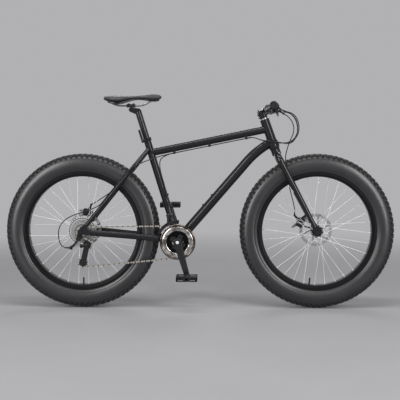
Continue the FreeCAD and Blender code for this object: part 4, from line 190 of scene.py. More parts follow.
for name, coat in coats.items():
    shader, place = newMaterial(name, coat["constants"])
    cloud = clouds(place, *coatLook["cloud"])
    speck = noise(place, coat["grain"], coatLook["speckDetail"])
    share = coatLook["cloudShare"]
    connect(shader, {
        "Base Color": mixed(cloud * share + speck * (1 - share), coat["dark"], coat["light"]),
        "Roughness": between(noise(place, *coatLook["dulling"]), coat["rough"]),
        "Normal": bumped(speck, coat["bump"], coat["depth"]),
    })
print("coats ready")

metalLook = {"cloud": (26.0, 4.0, 0.35, 0.7), "cloudShare": 0.5, "brushDetail": 4.0, "bump": (0.05, 0.0002)}
metals = {
    "spoke_steel": {"dark": (0.88, 0.88, 0.89), "light": (0.97, 0.97, 0.98), "rough": (0.20, 0.30),
                    "stretch": (300, 300, 300), "metallic": 0.2},
    "bearing_steel": {"dark": (0.40, 0.40, 0.41), "light": (0.66, 0.66, 0.68), "rough": (0.22, 0.36),
                      "stretch": (260, 900, 260), "metallic": 1.0},
    "rail_steel": {"dark": (0.22, 0.22, 0.23), "light": (0.42, 0.42, 0.44), "rough": (0.26, 0.40),
                   "stretch": (90, 900, 900), "metallic": 1.0},
    "link_silver": {"dark": (0.58, 0.58, 0.59), "light": (0.82, 0.82, 0.84), "rough": (0.16, 0.28),
                    "stretch": (120, 700, 700), "metallic": 0.5},
    "cage_steel": {"dark": (0.025, 0.025, 0.027), "light": (0.075, 0.075, 0.08), "rough": (0.24, 0.36),
                   "stretch": (150, 700, 150), "metallic": 1.0},
}
for name, metal in metals.items():
    shader, place = newMaterial(name, {"Metallic": metal["metallic"]})
    brushed = noise(stretched(place, metal["stretch"]), 1.0, metalLook["brushDetail"])
    cloud = clouds(place, *metalLook["cloud"])
    share = metalLook["cloudShare"]
    connect(shader, {
        "Base Color": mixed(brushed * (1 - share) + cloud * share, metal["dark"], metal["light"]),
        "Roughness": between(brushed, metal["rough"]),
        "Normal": bumped(brushed, *metalLook["bump"]),
    })

turnedLook = {"rings": 2600.0, "cloud": (40.0, 4.0, 0.35, 0.7), "bump": (0.08, 0.0002)}
turnedMetals = {
    "rotor_steel": {"axis": (axleX, axleZ, True), "dark": (0.34, 0.34, 0.35), "light": (0.64, 0.64, 0.66),
                    "rough": (0.20, 0.34), "cloudShare": 0.4},
    "ring_steel": {"axis": (crankX, crankZ), "dark": (0.006, 0.006, 0.007), "light": (0.022, 0.022, 0.024),
                   "rough": (0.2, 0.34), "cloudShare": 0.4},
    "guard_chrome": {"axis": (crankX, crankZ), "dark": (0.10, 0.085, 0.075), "light": (0.97, 0.95, 0.92),
                     "rough": (0.14, 0.22), "cloudShare": 0.8},
    "guard_bronze": {"axis": (crankX, crankZ), "dark": (0.035, 0.028, 0.022), "light": (0.28, 0.235, 0.20),
                     "rough": (0.06, 0.12), "cloudShare": 0.8},
}
for name, metal in turnedMetals.items():
    shader, place = newMaterial(name, {"Metallic": 1.0})
    rings = ringNoise(fromAxis(place, *metal["axis"]), turnedLook["rings"])
    cloud = clouds(place, *turnedLook["cloud"])
    share = metal["cloudShare"]
    connect(shader, {
        "Base Color": mixed(rings * (1 - share) + cloud * share, metal["dark"], metal["light"]),
        "Roughness": between(rings, metal["rough"]),
        "Normal": bumped(rings, *turnedLook["bump"]),
    })

# painted shade: the slots between the big cog's teeth and a band just outside each smaller cog's edge are
# painted dark, for the shadow each cog throws on the next; the rest mixes dull and bright by ring noise
cogForm = {"teeth": 34, "tip": 7.57, "toothRamp": (-0.35, 0.25), "slot": 0.0605, "slotBlur": 0.0006,
           "edges": [0.0259, 0.0298, 0.0338, 0.0399, 0.0459, 0.0520, 0.0600], "edgeBlur": 0.0004,
           "shadow": 0.0026, "shadowBlur": 0.0005, "rings": 1500.0, "rough": (0.2, 0.34),
           "dark": (0.010, 0.010, 0.010), "dull": (0.58, 0.58, 0.57), "bright": (0.96, 0.95, 0.93),
           "bump": (0.06, 0.0002)}
shader, place = newMaterial("cog_steel", {"Metallic": 0.45})
radius = fromAxis(place, -axleX, axleZ)
acrossX, _, upZ = split(place)
angle = place.maths("ARCTAN2", upZ - axleZ, acrossX + axleX)
wave = place.maths("COSINE", (angle - math.radians(cogForm["tip"])) * cogForm["teeth"])
tooth = ramp(wave, *cogForm["toothRamp"])
# painted shade mask: dark in the tooth slots and in a band just beyond each smaller cog's edge
paintedShade = (1 - tooth) * ramp(radius, cogForm["slot"], cogForm["slot"] + cogForm["slotBlur"])
for edge in cogForm["edges"]:
    end = edge + cogForm["shadow"]
    step = ramp(radius, edge, edge + cogForm["edgeBlur"]) - ramp(radius, end, end + cogForm["shadowBlur"])
    paintedShade = place.maths("MAXIMUM", paintedShade, step)
rings = ringNoise(radius, cogForm["rings"])
connect(shader, {
    "Base Color": mixed(paintedShade, mixed(rings, cogForm["dull"], cogForm["bright"]), cogForm["dark"]),
    "Roughness": between(rings, cogForm["rough"]),
    "Normal": bumped(rings, *cogForm["bump"]),
})

# the plates' outer faces are bright; rollers and inner plates, in a narrow band about the chain line, are
# darker
chainRecipe = {"line": -0.074, "edge": 0.0022, "edgeBlur": 0.0001, "oil": (160.0, 4.0, 0.3, 0.75),
               "dark": (0.035, 0.032, 0.028), "worn": (0.10, 0.095, 0.085), "rough": (0.42, 0.26),
               "bright": (0.74, 0.71, 0.63), "dull": (0.46, 0.43, 0.37), "pits": (900.0, 3.0),
               "bump": (0.08, 0.0002)}
shader, place = newMaterial("chain_steel", {"Metallic": 1.0})
fromLine = abs(split(place)[1] - chainRecipe["line"])
outer = ramp(fromLine, chainRecipe["edge"], chainRecipe["edge"] + chainRecipe["edgeBlur"])
oil = clouds(place, *chainRecipe["oil"])
inside = mixed(oil, chainRecipe["dark"], chainRecipe["worn"])
outside = mixed(oil, chainRecipe["dull"], chainRecipe["bright"])
connect(shader, {
    "Base Color": mixed(outer, inside, outside),
    "Roughness": between(oil, chainRecipe["rough"]),
    "Normal": bumped(noise(place, *chainRecipe["pits"]), *chainRecipe["bump"]),
})

tyreSkin = {"dark": (0.0065, 0.0062, 0.0075), "light": (0.014, 0.0135, 0.0158), "dust": (0.050, 0.049, 0.050),
            "cloud": (12.0, 5.0, 0.32, 0.7), "scuff": (70.0, 5.0, 0.52, 0.8), "scuffShare": 0.5,
            "treadStart": (0.3495, 0.356), "dulling": (45.0, 4.0), "rough": (0.30, 0.38), "treadRough": 0.2,
            "pebble": 900.0, "grain": (400.0, 3.0), "bump": (0.08, 0.0004)}
shader, place = newMaterial("tyre_rubber", {"Specular IOR Level": 0.9})
tread = ramp(fromAxis(place, axleX, axleZ, True), *tyreSkin["treadStart"])
scuff = clouds(place, *tyreSkin["scuff"]) * tread
rubber = mixed(clouds(place, *tyreSkin["cloud"]), tyreSkin["dark"], tyreSkin["light"])
relief = cells(place, tyreSkin["pebble"]) * 0.5 + noise(place, *tyreSkin["grain"]) * 0.5
wallRough = between(noise(place, *tyreSkin["dulling"]), tyreSkin["rough"])
connect(shader, {
    "Base Color": mixed(scuff * tyreSkin["scuffShare"], rubber, tyreSkin["dust"]),
    "Roughness": wallRough + tread * tyreSkin["treadRough"],
    "Normal": bumped(relief, *tyreSkin["bump"]),
})

gripSkin = {"dark": (0.010, 0.010, 0.011), "light": (0.022, 0.022, 0.024), "cloud": (30.0, 4.0, 0.3, 0.7),
            "dulling": (90.0, 3.0), "rough": (0.5, 0.64), "pebble": 1300.0, "bump": (0.2, 0.0003)}
shader, place = newMaterial("grip_rubber", {"Specular IOR Level": 0.4})
connect(shader, {
    "Base Color": mixed(clouds(place, *gripSkin["cloud"]), gripSkin["dark"], gripSkin["light"]),
    "Roughness": between(noise(place, *gripSkin["dulling"]), gripSkin["rough"]),
    "Normal": bumped(cells(place, gripSkin["pebble"]), *gripSkin["bump"]),
})

# saddle top panel: leather grain, creases and wear on a base colour painted lighter than the black skirt, a
# painted sheen on the top
leatherGrainAndSheen = {"dark": (0.045, 0.044, 0.048), "light": (0.11, 0.108, 0.114), "crease": (0.022, 0.022, 0.023),
           "wear": (22.0, 5.0, 0.4, 0.75), "grain": 520.0, "creaseWidth": 0.16, "creaseShare": 0.7,
           "pores": (240.0, 4.0), "rough": (0.5, 0.38), "bump": (0.25, 0.0005)}
shader, place = newMaterial("saddle_skin", {"Sheen Weight": 0.25, "Sheen Roughness": 0.4})
crease = ramp(cells(place, leatherGrainAndSheen["grain"], "DISTANCE_TO_EDGE"), 0.0, leatherGrainAndSheen["creaseWidth"])
wear = clouds(place, *leatherGrainAndSheen["wear"])
skin = mixed(wear, leatherGrainAndSheen["dark"], leatherGrainAndSheen["light"])
share = leatherGrainAndSheen["creaseShare"]
relief = crease * share + noise(place, *leatherGrainAndSheen["pores"]) * (1 - share)
connect(shader, {
    "Base Color": mixed(crease, leatherGrainAndSheen["crease"], skin),
    "Roughness": between(wear, leatherGrainAndSheen["rough"]),
    "Normal": bumped(relief, *leatherGrainAndSheen["bump"]),
})

skirt = {"dark": (0.005, 0.005, 0.005), "light": (0.012, 0.012, 0.013), "cloud": (25.0, 4.0, 0.3, 0.7),
         "dulling": (60.0, 3.0), "rough": (0.46, 0.58), "grain": (700.0, 3.0), "bump": (0.15, 0.0003)}
shader, place = newMaterial("saddle_skirt", {"Specular IOR Level": 0.4})
connect(shader, {
    "Base Color": mixed(clouds(place, *skirt["cloud"]), skirt["dark"], skirt["light"]),
    "Roughness": between(noise(place, *skirt["dulling"]), skirt["rough"]),
    "Normal": bumped(noise(place, *skirt["grain"]), *skirt["bump"]),
})
print("materials ready")

dress = {
    "frame_paint": ["main_frame", "rear_triangle"],
    "rim_black": ["front_rim", "rear_rim"],
    "spoke_steel": ["front_spokes", "rear_spokes"],
    "hub_black": ["front_hub", "rear_hub", "front_axle", "rear_axle", "frame_bearings"],
    "rotor_steel": ["front_rotor", "rear_rotor"],
    "bearing_steel": ["headset_spacers"],
    "gloss_black": ["fork", "seatpost", "stem", "handlebar", "seat_collar"],
    "cockpit_black": ["stem_faceplate", "bar_controls", "brake_lever_right", "brake_lever_left",
                      "shift_lever_right", "shift_lever_left", "seat_qr_lever", "front_qr_lever",
                      "rear_qr_lever", "seatpost_clamp", "front_caliper", "rear_caliper",
                      "rear_derailleur_mount", "rear_derailleur_knuckle", "rear_derailleur_cage",
                      "front_derailleur_mount"],
    "black_plastic": ["saddle_shell", "cable_guides", "guide_pulley", "tension_pulley"],
    "rail_steel": ["saddle_rails", "front_brake_arm", "rear_brake_arm"],
    "chain_steel": ["chain"],
    "crank_black": ["crank_arms", "crank_axles"],
    "ring_steel": ["chainrings"],
    "cog_steel": ["cassette"],
    "link_silver": ["rear_derailleur_link"],
    "cage_steel": ["front_derailleur_cage"],
    "tube_rubber": ["front_inner_tube", "rear_inner_tube"],
}
for name, nodeNames in dress.items():
    for nodeName in nodeNames:
        for slot in cadNodes[nodeName].material_slots:
            slot.link = "OBJECT"
            slot.material = materials[name]
print("solids dressed")


def newPiece(name, mesh, slots, smoothAngle=40.0):
    bmesh.ops.recalc_face_normals(mesh, faces=mesh.faces)
    for face in mesh.faces:
        face.smooth = True
    data = bpy.data.meshes.new(name)
    mesh.to_mesh(data)
    mesh.free()
    data.set_sharp_from_angle(angle=math.radians(smoothAngle))
    for slot in slots:
        data.materials.append(materials[slot])
    piece = bpy.data.objects.new(name, data)
    bpy.context.scene.collection.objects.link(piece)
    return piece


def spinProfile(mesh, points, centre, axis, steps):
    verts = [mesh.verts.new(point) for point in points]
    edges = [mesh.edges.new(pair) for pair in zip(verts, verts[1:])]
    bmesh.ops.spin(mesh, geom=verts + edges, cent=centre, axis=axis, dvec=(0, 0, 0), angle=math.tau,
                   steps=steps, use_merge=True)


def arcThrough(first, middle, last, count):
    ax, ay = first
    bx, by = middle
    cx, cy = last
    aSquare, bSquare, cSquare = ax * ax + ay * ay, bx * bx + by * by, cx * cx + cy * cy
    double = 2 * (ax * (by - cy) + bx * (cy - ay) + cx * (ay - by))
    centreX = (aSquare * (by - cy) + bSquare * (cy - ay) + cSquare * (ay - by)) / double
    centreY = (aSquare * (cx - bx) + bSquare * (ax - cx) + cSquare * (bx - ax)) / double
    radius = math.hypot(ax - centreX, ay - centreY)
    begin = math.atan2(ay - centreY, ax - centreX)
    end = math.atan2(cy - centreY, cx - centreX)
    angles = [begin + (end - begin) * step / count for step in range(count + 1)]
    return [(centreX + radius * math.cos(angle), centreY + radius * math.sin(angle)) for angle in angles]


tyreForm = {"centre": 0.325, "base": 0.0444, "top": 0.0497, "root": 0.002, "pitches": 86, "steps": 192,
            "bevel": 0.0010, "draft": 0.14}
lugRows = [
    {"from": -9.0, "to": 9.0, "phase": 0.0, "long": 0.64},
    {"from": 12.5, "to": 25.0, "phase": 0.28, "long": 0.62},
    {"from": 28.5, "to": 39.0, "phase": 0.5, "long": 0.56},
    {"from": 42.0, "to": 59.0, "phase": 0.0, "long": 0.68},
]
# half a section in millimetres, as side and radius
tyreSection = {
    "bead": [(32.1, 279.8), (37.1, 279.8), (37.1, 286.0)],
    "wall": [(37.1, 286.5), (49.0, 320.75), (40.0, 355.0)], "wallSteps": 26,
    "ridge": (290.5, 293.0), "ridgeLift": 0.7,
    "rib": 301.0, "ribForm": [(-0.1, -1.0), (0.55, -0.5), (0.55, 0.5), (-0.1, 1.0)],
    "treadAngles": (46, 38, 30, 22, 14, 7),
    "inner": [(25.0, 354.5), (37.5, 336.0), (41.5, 320.0), (38.5, 299.0), (32.1, 286.5)],
    "innerTop": (0.0, 364.0),
}


def sectionPoint(theta, phi, radius, hubX):
    out = tyreForm["centre"] + radius * math.cos(theta)
    return Vector((hubX + out * math.cos(phi), radius * math.sin(theta), axleZ + out * math.sin(phi)))


def addLug(mesh, row, sign, hubX):
    pitch = math.tau / tyreForm["pitches"]
    middle = math.radians(row["from"] + row["to"]) / 2 * sign
    width = math.radians(row["to"] - row["from"])
    foot = tyreForm["base"] - tyreForm["root"]
    made = bmesh.ops.create_cube(mesh, size=1.0)["verts"]
    raised = [vert for vert in made if vert.co.z > 0]
    for vert in made:
        across, along, up = vert.co
        level = up + 0.5
        taper = 1.0 - tyreForm["draft"] * level
        phi = (row["phase"] + along * row["long"] * taper) * pitch
        radius = foot + level * (tyreForm["top"] - foot)
        vert.co = sectionPoint(middle + across * width * taper, phi, radius, hubX)
    crests = [edge for edge in mesh.edges if edge.verts[0] in raised and edge.verts[1] in raised]
    bmesh.ops.bevel(mesh, geom=crests, offset=tyreForm["bevel"], segments=1, profile=0.5, affect="EDGES",
                    material=-1)


def mirrored(points):
    return [(-side, radius) for side, radius in reversed(points)]


def tyreProfile(hubX):
    form = tyreSection
    low, high = form["ridge"]
    outer = form["bead"][:]
    for side, radius in arcThrough(*form["wall"], form["wallSteps"])[1:-2]:
        outer.append((side + (form["ridgeLift"] if low < radius < high else 0.0), radius))
    near = min(range(len(outer)), key=lambda index: abs(outer[index][1] - form["rib"]))
    side, radius = outer[near]
    outer[near:near + 1] = [(side + out, radius + up) for out, up in form["ribForm"]]
    centre, base = tyreForm["centre"] * 1000, tyreForm["base"] * 1000
    for angle in form["treadAngles"]:
        outer.append((base * math.sin(math.radians(angle)), centre + base * math.cos(math.radians(angle))))
    loop = outer + [(0.0, centre + base)] + mirrored(outer)
    loop += mirrored(form["inner"]) + [form["innerTop"]] + form["inner"] + outer[:1]
    return [Vector((hubX + radius / 1000, side / 1000, axleZ)) for side, radius in loop]


def buildTyre(name, hubX, node, body):
    mesh = bmesh.new()
    for row in lugRows:
        for sign in ((1,) if row["from"] < 0 else (1, -1)):
            addLug(mesh, row, sign, hubX)
    count = tyreForm["pitches"]
    geom = mesh.verts[:] + mesh.edges[:] + mesh.faces[:]
    bmesh.ops.spin(mesh, geom=geom, cent=(hubX, 0, axleZ), axis=(0, -1, 0), dvec=(0, 0, 0),
                   angle=math.tau * (count - 1) / count, steps=count - 1, use_merge=False, use_duplicate=True)
    spinProfile(mesh, tyreProfile(hubX), (hubX, 0, axleZ), (0, 1, 0), tyreForm["steps"])
    piece = newPiece(name, mesh, ["tyre_rubber"], smoothAngle=32.0)
    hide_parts(node)
    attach(piece, body)
    print(name, len(piece.data.polygons), "faces")


buildTyre("front_tread", axleX, "front_tyre", "front_wheel")
buildTyre("rear_tread", -axleX, "rear_tyre", "rear_wheel")

# profiles in millimetres, as run along the grip and distance from its axis
gripForm = {
    "start": Vector((0.34259, -0.34, 0.97615)), "inward": Vector((0.08716, 0.99619, 0.0)), "steps": 40,
    "outerEnd": [(0.0, 0.05), (0.0, 8.2), (0.9, 8.8), (0.9, 11.0), (0.0, 11.8), (0.0, 16.2), (0.9, 17.5),
                 (2.0, 17.9), (5.2, 17.9), (6.3, 16.4)],
    "ribs": 27, "firstRib": 8.0, "ribPitch": 4.3,
    "rib": [(0.0, 15.5), (0.7, 16.45), (2.7, 16.45), (3.4, 15.5)],
    "innerEnd": [(125.2, 16.4), (126.2, 17.9), (130.6, 17.9), (131.6, 17.2), (132.0, 15.6), (132.0, 11.2)],
}


def buildGrips():
    mesh = bmesh.new()
    profile = gripForm["outerEnd"][:]
    for rib in range(gripForm["ribs"]):
        begin = gripForm["firstRib"] + rib * gripForm["ribPitch"]
        profile += [(begin + along, out) for along, out in gripForm["rib"]]
    profile += gripForm["innerEnd"]
    for sign in (1, -1):
        side = Vector((1, sign, 1))
        start = gripForm["start"] * side
        inward = gripForm["inward"] * side
        points = [start + inward * (along / 1000) + Vector((0, 0, out / 1000)) for along, out in profile]
        spinProfile(mesh, points, start, inward, gripForm["steps"])
    piece = newPiece("grip_sleeves", mesh, ["grip_rubber"], smoothAngle=38.0)
    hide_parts("grips")
    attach(piece, "steering")


buildGrips()
print("grips ready")

saddleForm = {"tail": -0.462, "length": 0.278, "width": 0.150, "base": 1.0, "height": 0.031,
              "seamDepth": 0.0012, "seamLevel": 0.36, "stations": 30, "endRun": 0.02, "endShrink": 0.62,
              "lastShare": 0.9999}
# stations as share of length, share of width, and the lower and upper level as shares of height
saddleStations = [
    (0.00, 0.50, 0.30, 0.82), (0.08, 0.83, 0.02, 0.93), (0.27, 1.00, -0.18, 0.96), (0.45, 0.68, 0.26, 0.93),
    (0.65, 0.37, 0.42, 1.00), (0.85, 0.27, 0.18, 1.17), (0.96, 0.21, 0.32, 1.08), (1.00, 0.11, 0.56, 0.86),
]
# half a section as share across, share up, and 1 where the seam is sunk
saddleSection = [
    (0.80, 0.00, 0), (0.90, 0.04, 0), (0.955, 0.14, 0), (0.985, 0.26, 0), (0.995, 0.335, 0), (0.995, 0.36, 1),
    (1.0, 0.385, 0), (1.0, 0.45, 0), (0.975, 0.58, 0), (0.91, 0.71, 0), (0.79, 0.82, 0), (0.60, 0.91, 0),
    (0.34, 0.97, 0), (0.12, 0.995, 0),
]


def saddleAt(share):
    places = saddleStations
    index = max(i for i in range(len(places) - 1) if places[i][0] <= share + 1e-9)
    before = places[max(index - 1, 0)]
    here, there = places[index], places[index + 1]
    after = places[min(index + 2, len(places) - 1)]
    span = there[0] - here[0]
    t = (share - here[0]) / span
    found = []
    for column in (1, 2, 3):
        slopeIn = (there[column] - before[column]) / max(there[0] - before[0], 1e-6) * span
        slopeOut = (after[column] - here[column]) / max(after[0] - here[0], 1e-6) * span
        found.append((2 * t ** 3 - 3 * t ** 2 + 1) * here[column] + (t ** 3 - 2 * t ** 2 + t) * slopeIn
                     + (-2 * t ** 3 + 3 * t ** 2) * there[column] + (t ** 3 - t ** 2) * slopeOut)
    return found


def saddleRing(share, shrink):
    wide, low, high = saddleAt(share)
    half = saddleForm["width"] / 2 * wide * shrink
    base = saddleForm["base"] + saddleForm["height"] * low
    rise = saddleForm["height"] * (high - low)
    lift = rise * (1 - shrink) / 2
    x = saddleForm["tail"] + saddleForm["length"] * share
    side = [(half * across - inset * saddleForm["seamDepth"], base + lift + rise * shrink * up)
            for across, up, inset in saddleSection]
    return [Vector((x, -y, z)) for y, z in side] + [Vector((x, y, z)) for y, z in reversed(side)]


def buildSaddle():
    form = saddleForm
    mesh = bmesh.new()
    count = form["stations"]
    rings = []
    for step in range(count + 1):
        share = 0.5 - 0.5 * math.cos(math.pi * step / count)
        edge = min(share, 1 - share)
        shrink = 1.0
        if edge <= form["endRun"]:
            shrink = form["endShrink"] + (1 - form["endShrink"]) * math.sqrt(edge / form["endRun"])
        verts = [mesh.verts.new(point) for point in saddleRing(min(share, form["lastShare"]), shrink)]
        rings.append([mesh.edges.new(pair) for pair in zip(verts, verts[1:] + verts[:1])])
    for first, second in zip(rings, rings[1:]):
        bmesh.ops.bridge_loops(mesh, edges=first + second)
    bmesh.ops.holes_fill(mesh, edges=rings[0] + rings[-1], sides=0)
    # faces below the seam take the black skirt, those above it the top panel with its painted sheen
    for face in mesh.faces:
        middle = face.calc_center_median()
        share = min(max((middle.x - form["tail"]) / form["length"], 0.0), form["lastShare"])
        _, low, high = saddleAt(share)
        level = form["base"] + form["height"] * (low + (high - low) * form["seamLevel"])
        face.material_index = 1 if middle.z < level else 0
    piece = newPiece("saddle_pad", mesh, ["saddle_skin", "saddle_skirt"], smoothAngle=70.0)
    smooth = piece.modifiers.new("smooth", "SUBSURF")
    smooth.levels = 2
    smooth.render_levels = 2
    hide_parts("saddle_cover")
    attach(piece, "seatpost")


buildSaddle()
print("saddle ready")

# rear shift, rear brake and front shift loops, from the bar to the top tube
loopRoutes = [
    [(0.35051, -0.11173, 0.95255), (0.35226, -0.0918, 0.95255), (0.4550, -0.0544, 0.9502),
     (0.4847, -0.0442, 0.8684), (0.4520, -0.034, 0.8034), (0.37147, -0.034, 0.79956),
     (0.29611, -0.0272, 0.81363), (0.26111, -0.009, 0.83002), (0.23788, -0.009, 0.82532)],
    [(0.3718, -0.16096, 0.96395), (0.37355, -0.14104, 0.96395), (0.4497, -0.0688, 0.9387),
     (0.4763, -0.0559, 0.8654), (0.4467, -0.043, 0.7918), (0.36839, -0.043, 0.80802),
     (0.29611, -0.0344, 0.81363), (0.26111, 0.009, 0.83002), (0.23788, 0.009, 0.82532)],
    [(0.35051, 0.11173, 0.95255), (0.35226, 0.0918, 0.95255), (0.4550, 0.0544, 0.9502),
     (0.4847, 0.0442, 0.8684), (0.4520, 0.034, 0.8034), (0.37147, 0.034, 0.79956),
     (0.29611, 0.0272, 0.81363), (0.26111, 0.0, 0.83002), (0.23788, 0.0, 0.82532)],
]
# the same three along the frame
frameRoutes = [
    [(0.23759, -0.009, 0.82526), (-0.08, -0.009, 0.76102), (-0.165, -0.009, 0.74383),
     (-0.22711, -0.036, 0.72631), (-0.30948, -0.082, 0.69363), (-0.35248, -0.07991, 0.65626),
     (-0.3858, -0.0830, 0.6151), (-0.4524, -0.0893, 0.5329), (-0.4857, -0.09238, 0.49174),
     (-0.6755, -0.09, 0.435), (-0.6755, -0.09, 0.29957), (-0.63376, -0.09628, 0.29957)],
    [(0.23759, 0.009, 0.82526), (-0.08, 0.009, 0.76102), (-0.165, 0.009, 0.74383),
     (-0.22711, 0.036, 0.72631), (-0.30948, 0.082, 0.69363), (-0.35248, 0.07991, 0.65626),
     (-0.42368, 0.08657, 0.56833), (-0.5158, 0.0915, 0.5068), (-0.53373, 0.0915, 0.4978)],
    [(0.23759, 0.0, 0.82526), (-0.08, 0.0, 0.76102), (-0.165, 0.0, 0.74383),
     (-0.2031, -0.0215, 0.70794), (-0.15287, -0.0215, 0.54568), (-0.1449, -0.034, 0.46074)],
]
brakeRoute = [(0.3718, 0.16096, 0.96395), (0.37355, 0.14104, 0.96395), (0.4443, 0.096, 0.9271),
              (0.4679, 0.096, 0.8623), (0.4351, 0.096, 0.7972), (0.41448, 0.096, 0.71043),
              (0.44371, 0.096, 0.56897), (0.46897, 0.0735, 0.47182), (0.46595, 0.0735, 0.45205)]
loopForm = {"radius": 0.0024, "ferrule": 0.0031, "ferruleLength": 0.011}
collarForm = {"segments": 20, "rimAngle": 1.0, "bevelShare": 0.18}


def tubeMesh(points, radius):
    curve = bpy.data.curves.new("route", "CURVE")
    curve.dimensions = "3D"
    curve.bevel_depth = radius
    curve.bevel_resolution = 3
    curve.resolution_u = 10
    curve.use_fill_caps = True
    spline = curve.splines.new("NURBS")
    spline.points.add(len(points) - 1)
    for point, place in zip(spline.points, points):
        point.co = (*place, 1.0)
    spline.order_u = 3
    spline.use_endpoint_u = True
    holder = bpy.data.objects.new("route", curve)
    bpy.context.scene.collection.objects.link(holder)
    data = bpy.data.meshes.new_from_object(holder.evaluated_get(bpy.context.evaluated_depsgraph_get()))
    bpy.data.objects.remove(holder)
    return data


def addCollar(mesh, start, direction, radius, length):
    turn = Vector((0, 0, 1)).rotation_difference(direction).to_matrix().to_4x4()
    matrix = Matrix.Translation(start + direction * (length / 2)) @ turn
    made = bmesh.ops.create_cone(mesh, cap_ends=True, segments=collarForm["segments"], radius1=radius,
                                 radius2=radius, depth=length, matrix=matrix)["verts"]
    rims = [edge for edge in mesh.edges if edge.verts[0] in made and edge.verts[1] in made
            and len(edge.link_faces) == 2 and edge.calc_face_angle() > collarForm["rimAngle"]]
    bmesh.ops.bevel(mesh, geom=rims, offset=radius * collarForm["bevelShare"], segments=2, profile=0.5,
                    affect="EDGES", material=-1)


def buildCables(name, routes):
    mesh = bmesh.new()
    for route in routes:
        mesh.from_mesh(tubeMesh(route, loopForm["radius"]))
        points = [Vector(place) for place in route]
        for end, towards in ((points[0], points[1]), (points[-1], points[-2])):
            addCollar(mesh, end, (towards - end).normalized(), loopForm["ferrule"], loopForm["ferruleLength"])
    piece = newPiece(name, mesh, ["cable_black"])
    return piece


loops = buildCables("cable_loops", loopRoutes)
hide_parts("control_cable_loops")
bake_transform(loops)
housings = buildCables("frame_housings", frameRoutes)
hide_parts("frame_cables")
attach(housings, "frame")
brakeHousing = buildCables("front_brake_housing", [brakeRoute])
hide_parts("front_brake_cable")
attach(brakeHousing, "steering")

wireForm = {"radius": 0.0009, "lead": 0.03, "tail": 0.008, "boltRadius": 0.0036, "boltLength": 0.009}
brakeWires = [
    {"name": "front_brake_wire", "stop": (0.46595, 0.0735, 0.45205), "tip": (0.45596, 0.0735, 0.38659),
     "holder": "steering", "arm": "front_brake_arm"},
    {"name": "rear_brake_wire", "stop": (-0.53373, 0.0915, 0.4978), "tip": (-0.59769, 0.0915, 0.46561),
     "holder": "frame", "arm": "rear_brake_arm"},
]
for item in brakeWires:
    mesh = bmesh.new()
    stop = Vector(item["stop"])
    tip = Vector(item["tip"])
    line = (tip - stop).normalized()
    wirePoints = [stop, stop + line * wireForm["lead"], tip - line * wireForm["tail"]]
    mesh.from_mesh(tubeMesh(wirePoints, wireForm["radius"]))
    piece = newPiece(item["name"], mesh, ["spoke_steel"])
    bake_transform(piece)
    mesh = bmesh.new()
    boltStart = tip - Vector((0, wireForm["boltLength"] / 2, 0))
    addCollar(mesh, boltStart, Vector((0, 1, 0)), wireForm["boltRadius"], wireForm["boltLength"])
    piece = newPiece(item["name"] + "_pinch_bolt", mesh, ["bearing_steel"])
    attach(piece, item["arm"])
print("cables ready")

# profiles in millimetres, as radius and distance from the bike's middle
guardForm = {
    "steps": 128,
    "rim": [(75.0, 81.6), (75.6, 82.6), (77.5, 83.9), (80.0, 84.5), (83.0, 84.0), (85.4, 82.6), (86.0, 81.2),
            (85.6, 79.6), (84.0, 78.9), (76.0, 78.9), (75.0, 79.6), (75.0, 81.6)],
    "face": [(53.0, 81.0), (53.0, 82.4), (54.0, 83.5), (57.0, 84.4), (62.0, 84.9), (67.0, 84.6), (71.0, 83.9),
             (74.0, 82.9), (74.9, 82.2), (74.9, 81.0), (53.0, 81.0)],
}
for part, skin in (("rim", "guard_bronze"), ("face", "guard_chrome")):
    mesh = bmesh.new()
    points = [Vector((crankX + radius / 1000, -side / 1000, crankZ)) for radius, side in guardForm[part]]
    spinProfile(mesh, points, (crankX, 0, crankZ), (0, 1, 0), guardForm["steps"])
    bmesh.ops.remove_doubles(mesh, verts=mesh.verts, dist=0.00001)
    piece = newPiece("guard_" + part, mesh, [skin], smoothAngle=50.0)
    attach(piece, "crankset")

crankBolt = {"start": 0.1026, "length": 0.004, "radius": 0.0078}
mesh = bmesh.new()
for sign in (1, -1):
    boltStart = Vector((crankX, sign * crankBolt["start"], crankZ))
    addCollar(mesh, boltStart, Vector((0, sign, 0)), crankBolt["radius"], crankBolt["length"])
piece = newPiece("crank_bolts", mesh, ["spoke_steel"])
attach(piece, "crankset")
print("guard ready")

pedalForm = {"long": 0.100, "wide": 0.094, "high": 0.024, "start": 0.108, "wall": 0.006, "webShare": 0.86,
             "barrel": 0.0105, "barrelInset": 0.0005, "barrelShort": 0.0008, "capShare": 0.72,
             "tooth": 0.0035, "teeth": 16, "columns": [0, 0.010, 0.034, 0.066, 0.090, 0.100],
             "rows": [0, 0.0055, 0.0185, 0.024], "bevel": 0.0007}


def gridWall(mesh, columns, rows, thickness, windows=()):
    made = bmesh.ops.create_grid(mesh, x_segments=len(columns) - 1, y_segments=len(rows) - 1,
                                 size=0.5)["verts"]
    for axis, places in ((0, columns), (1, rows)):
        ranks = sorted({round(vert.co[axis], 4) for vert in made})
        for vert in made:
            vert.co[axis] = places[ranks.index(round(vert.co[axis], 4))]
    faces = list(dict.fromkeys(face for vert in made for face in vert.link_faces))
    for face in faces[:]:
        middle = face.calc_center_median()
        if any(low < middle.x < high and rows[1] < middle.y < rows[2] for low, high in windows):
            faces.remove(face)
            mesh.faces.remove(face)
    raised = bmesh.ops.extrude_face_region(mesh, geom=faces)["geom"]
    lifted = [item for item in raised if isinstance(item, bmesh.types.BMVert)]
    bmesh.ops.translate(mesh, verts=lifted, vec=(0, 0, thickness))
    return made + lifted


creaseAngle = 0.7


def bevelCreases(mesh, verts, offset):
    creases = list(dict.fromkeys(edge for vert in verts for edge in vert.link_edges
                                 if len(edge.link_faces) == 2 and edge.calc_face_angle() > creaseAngle))
    bmesh.ops.bevel(mesh, geom=creases, offset=offset, segments=2, profile=0.5, affect="EDGES", material=-1)


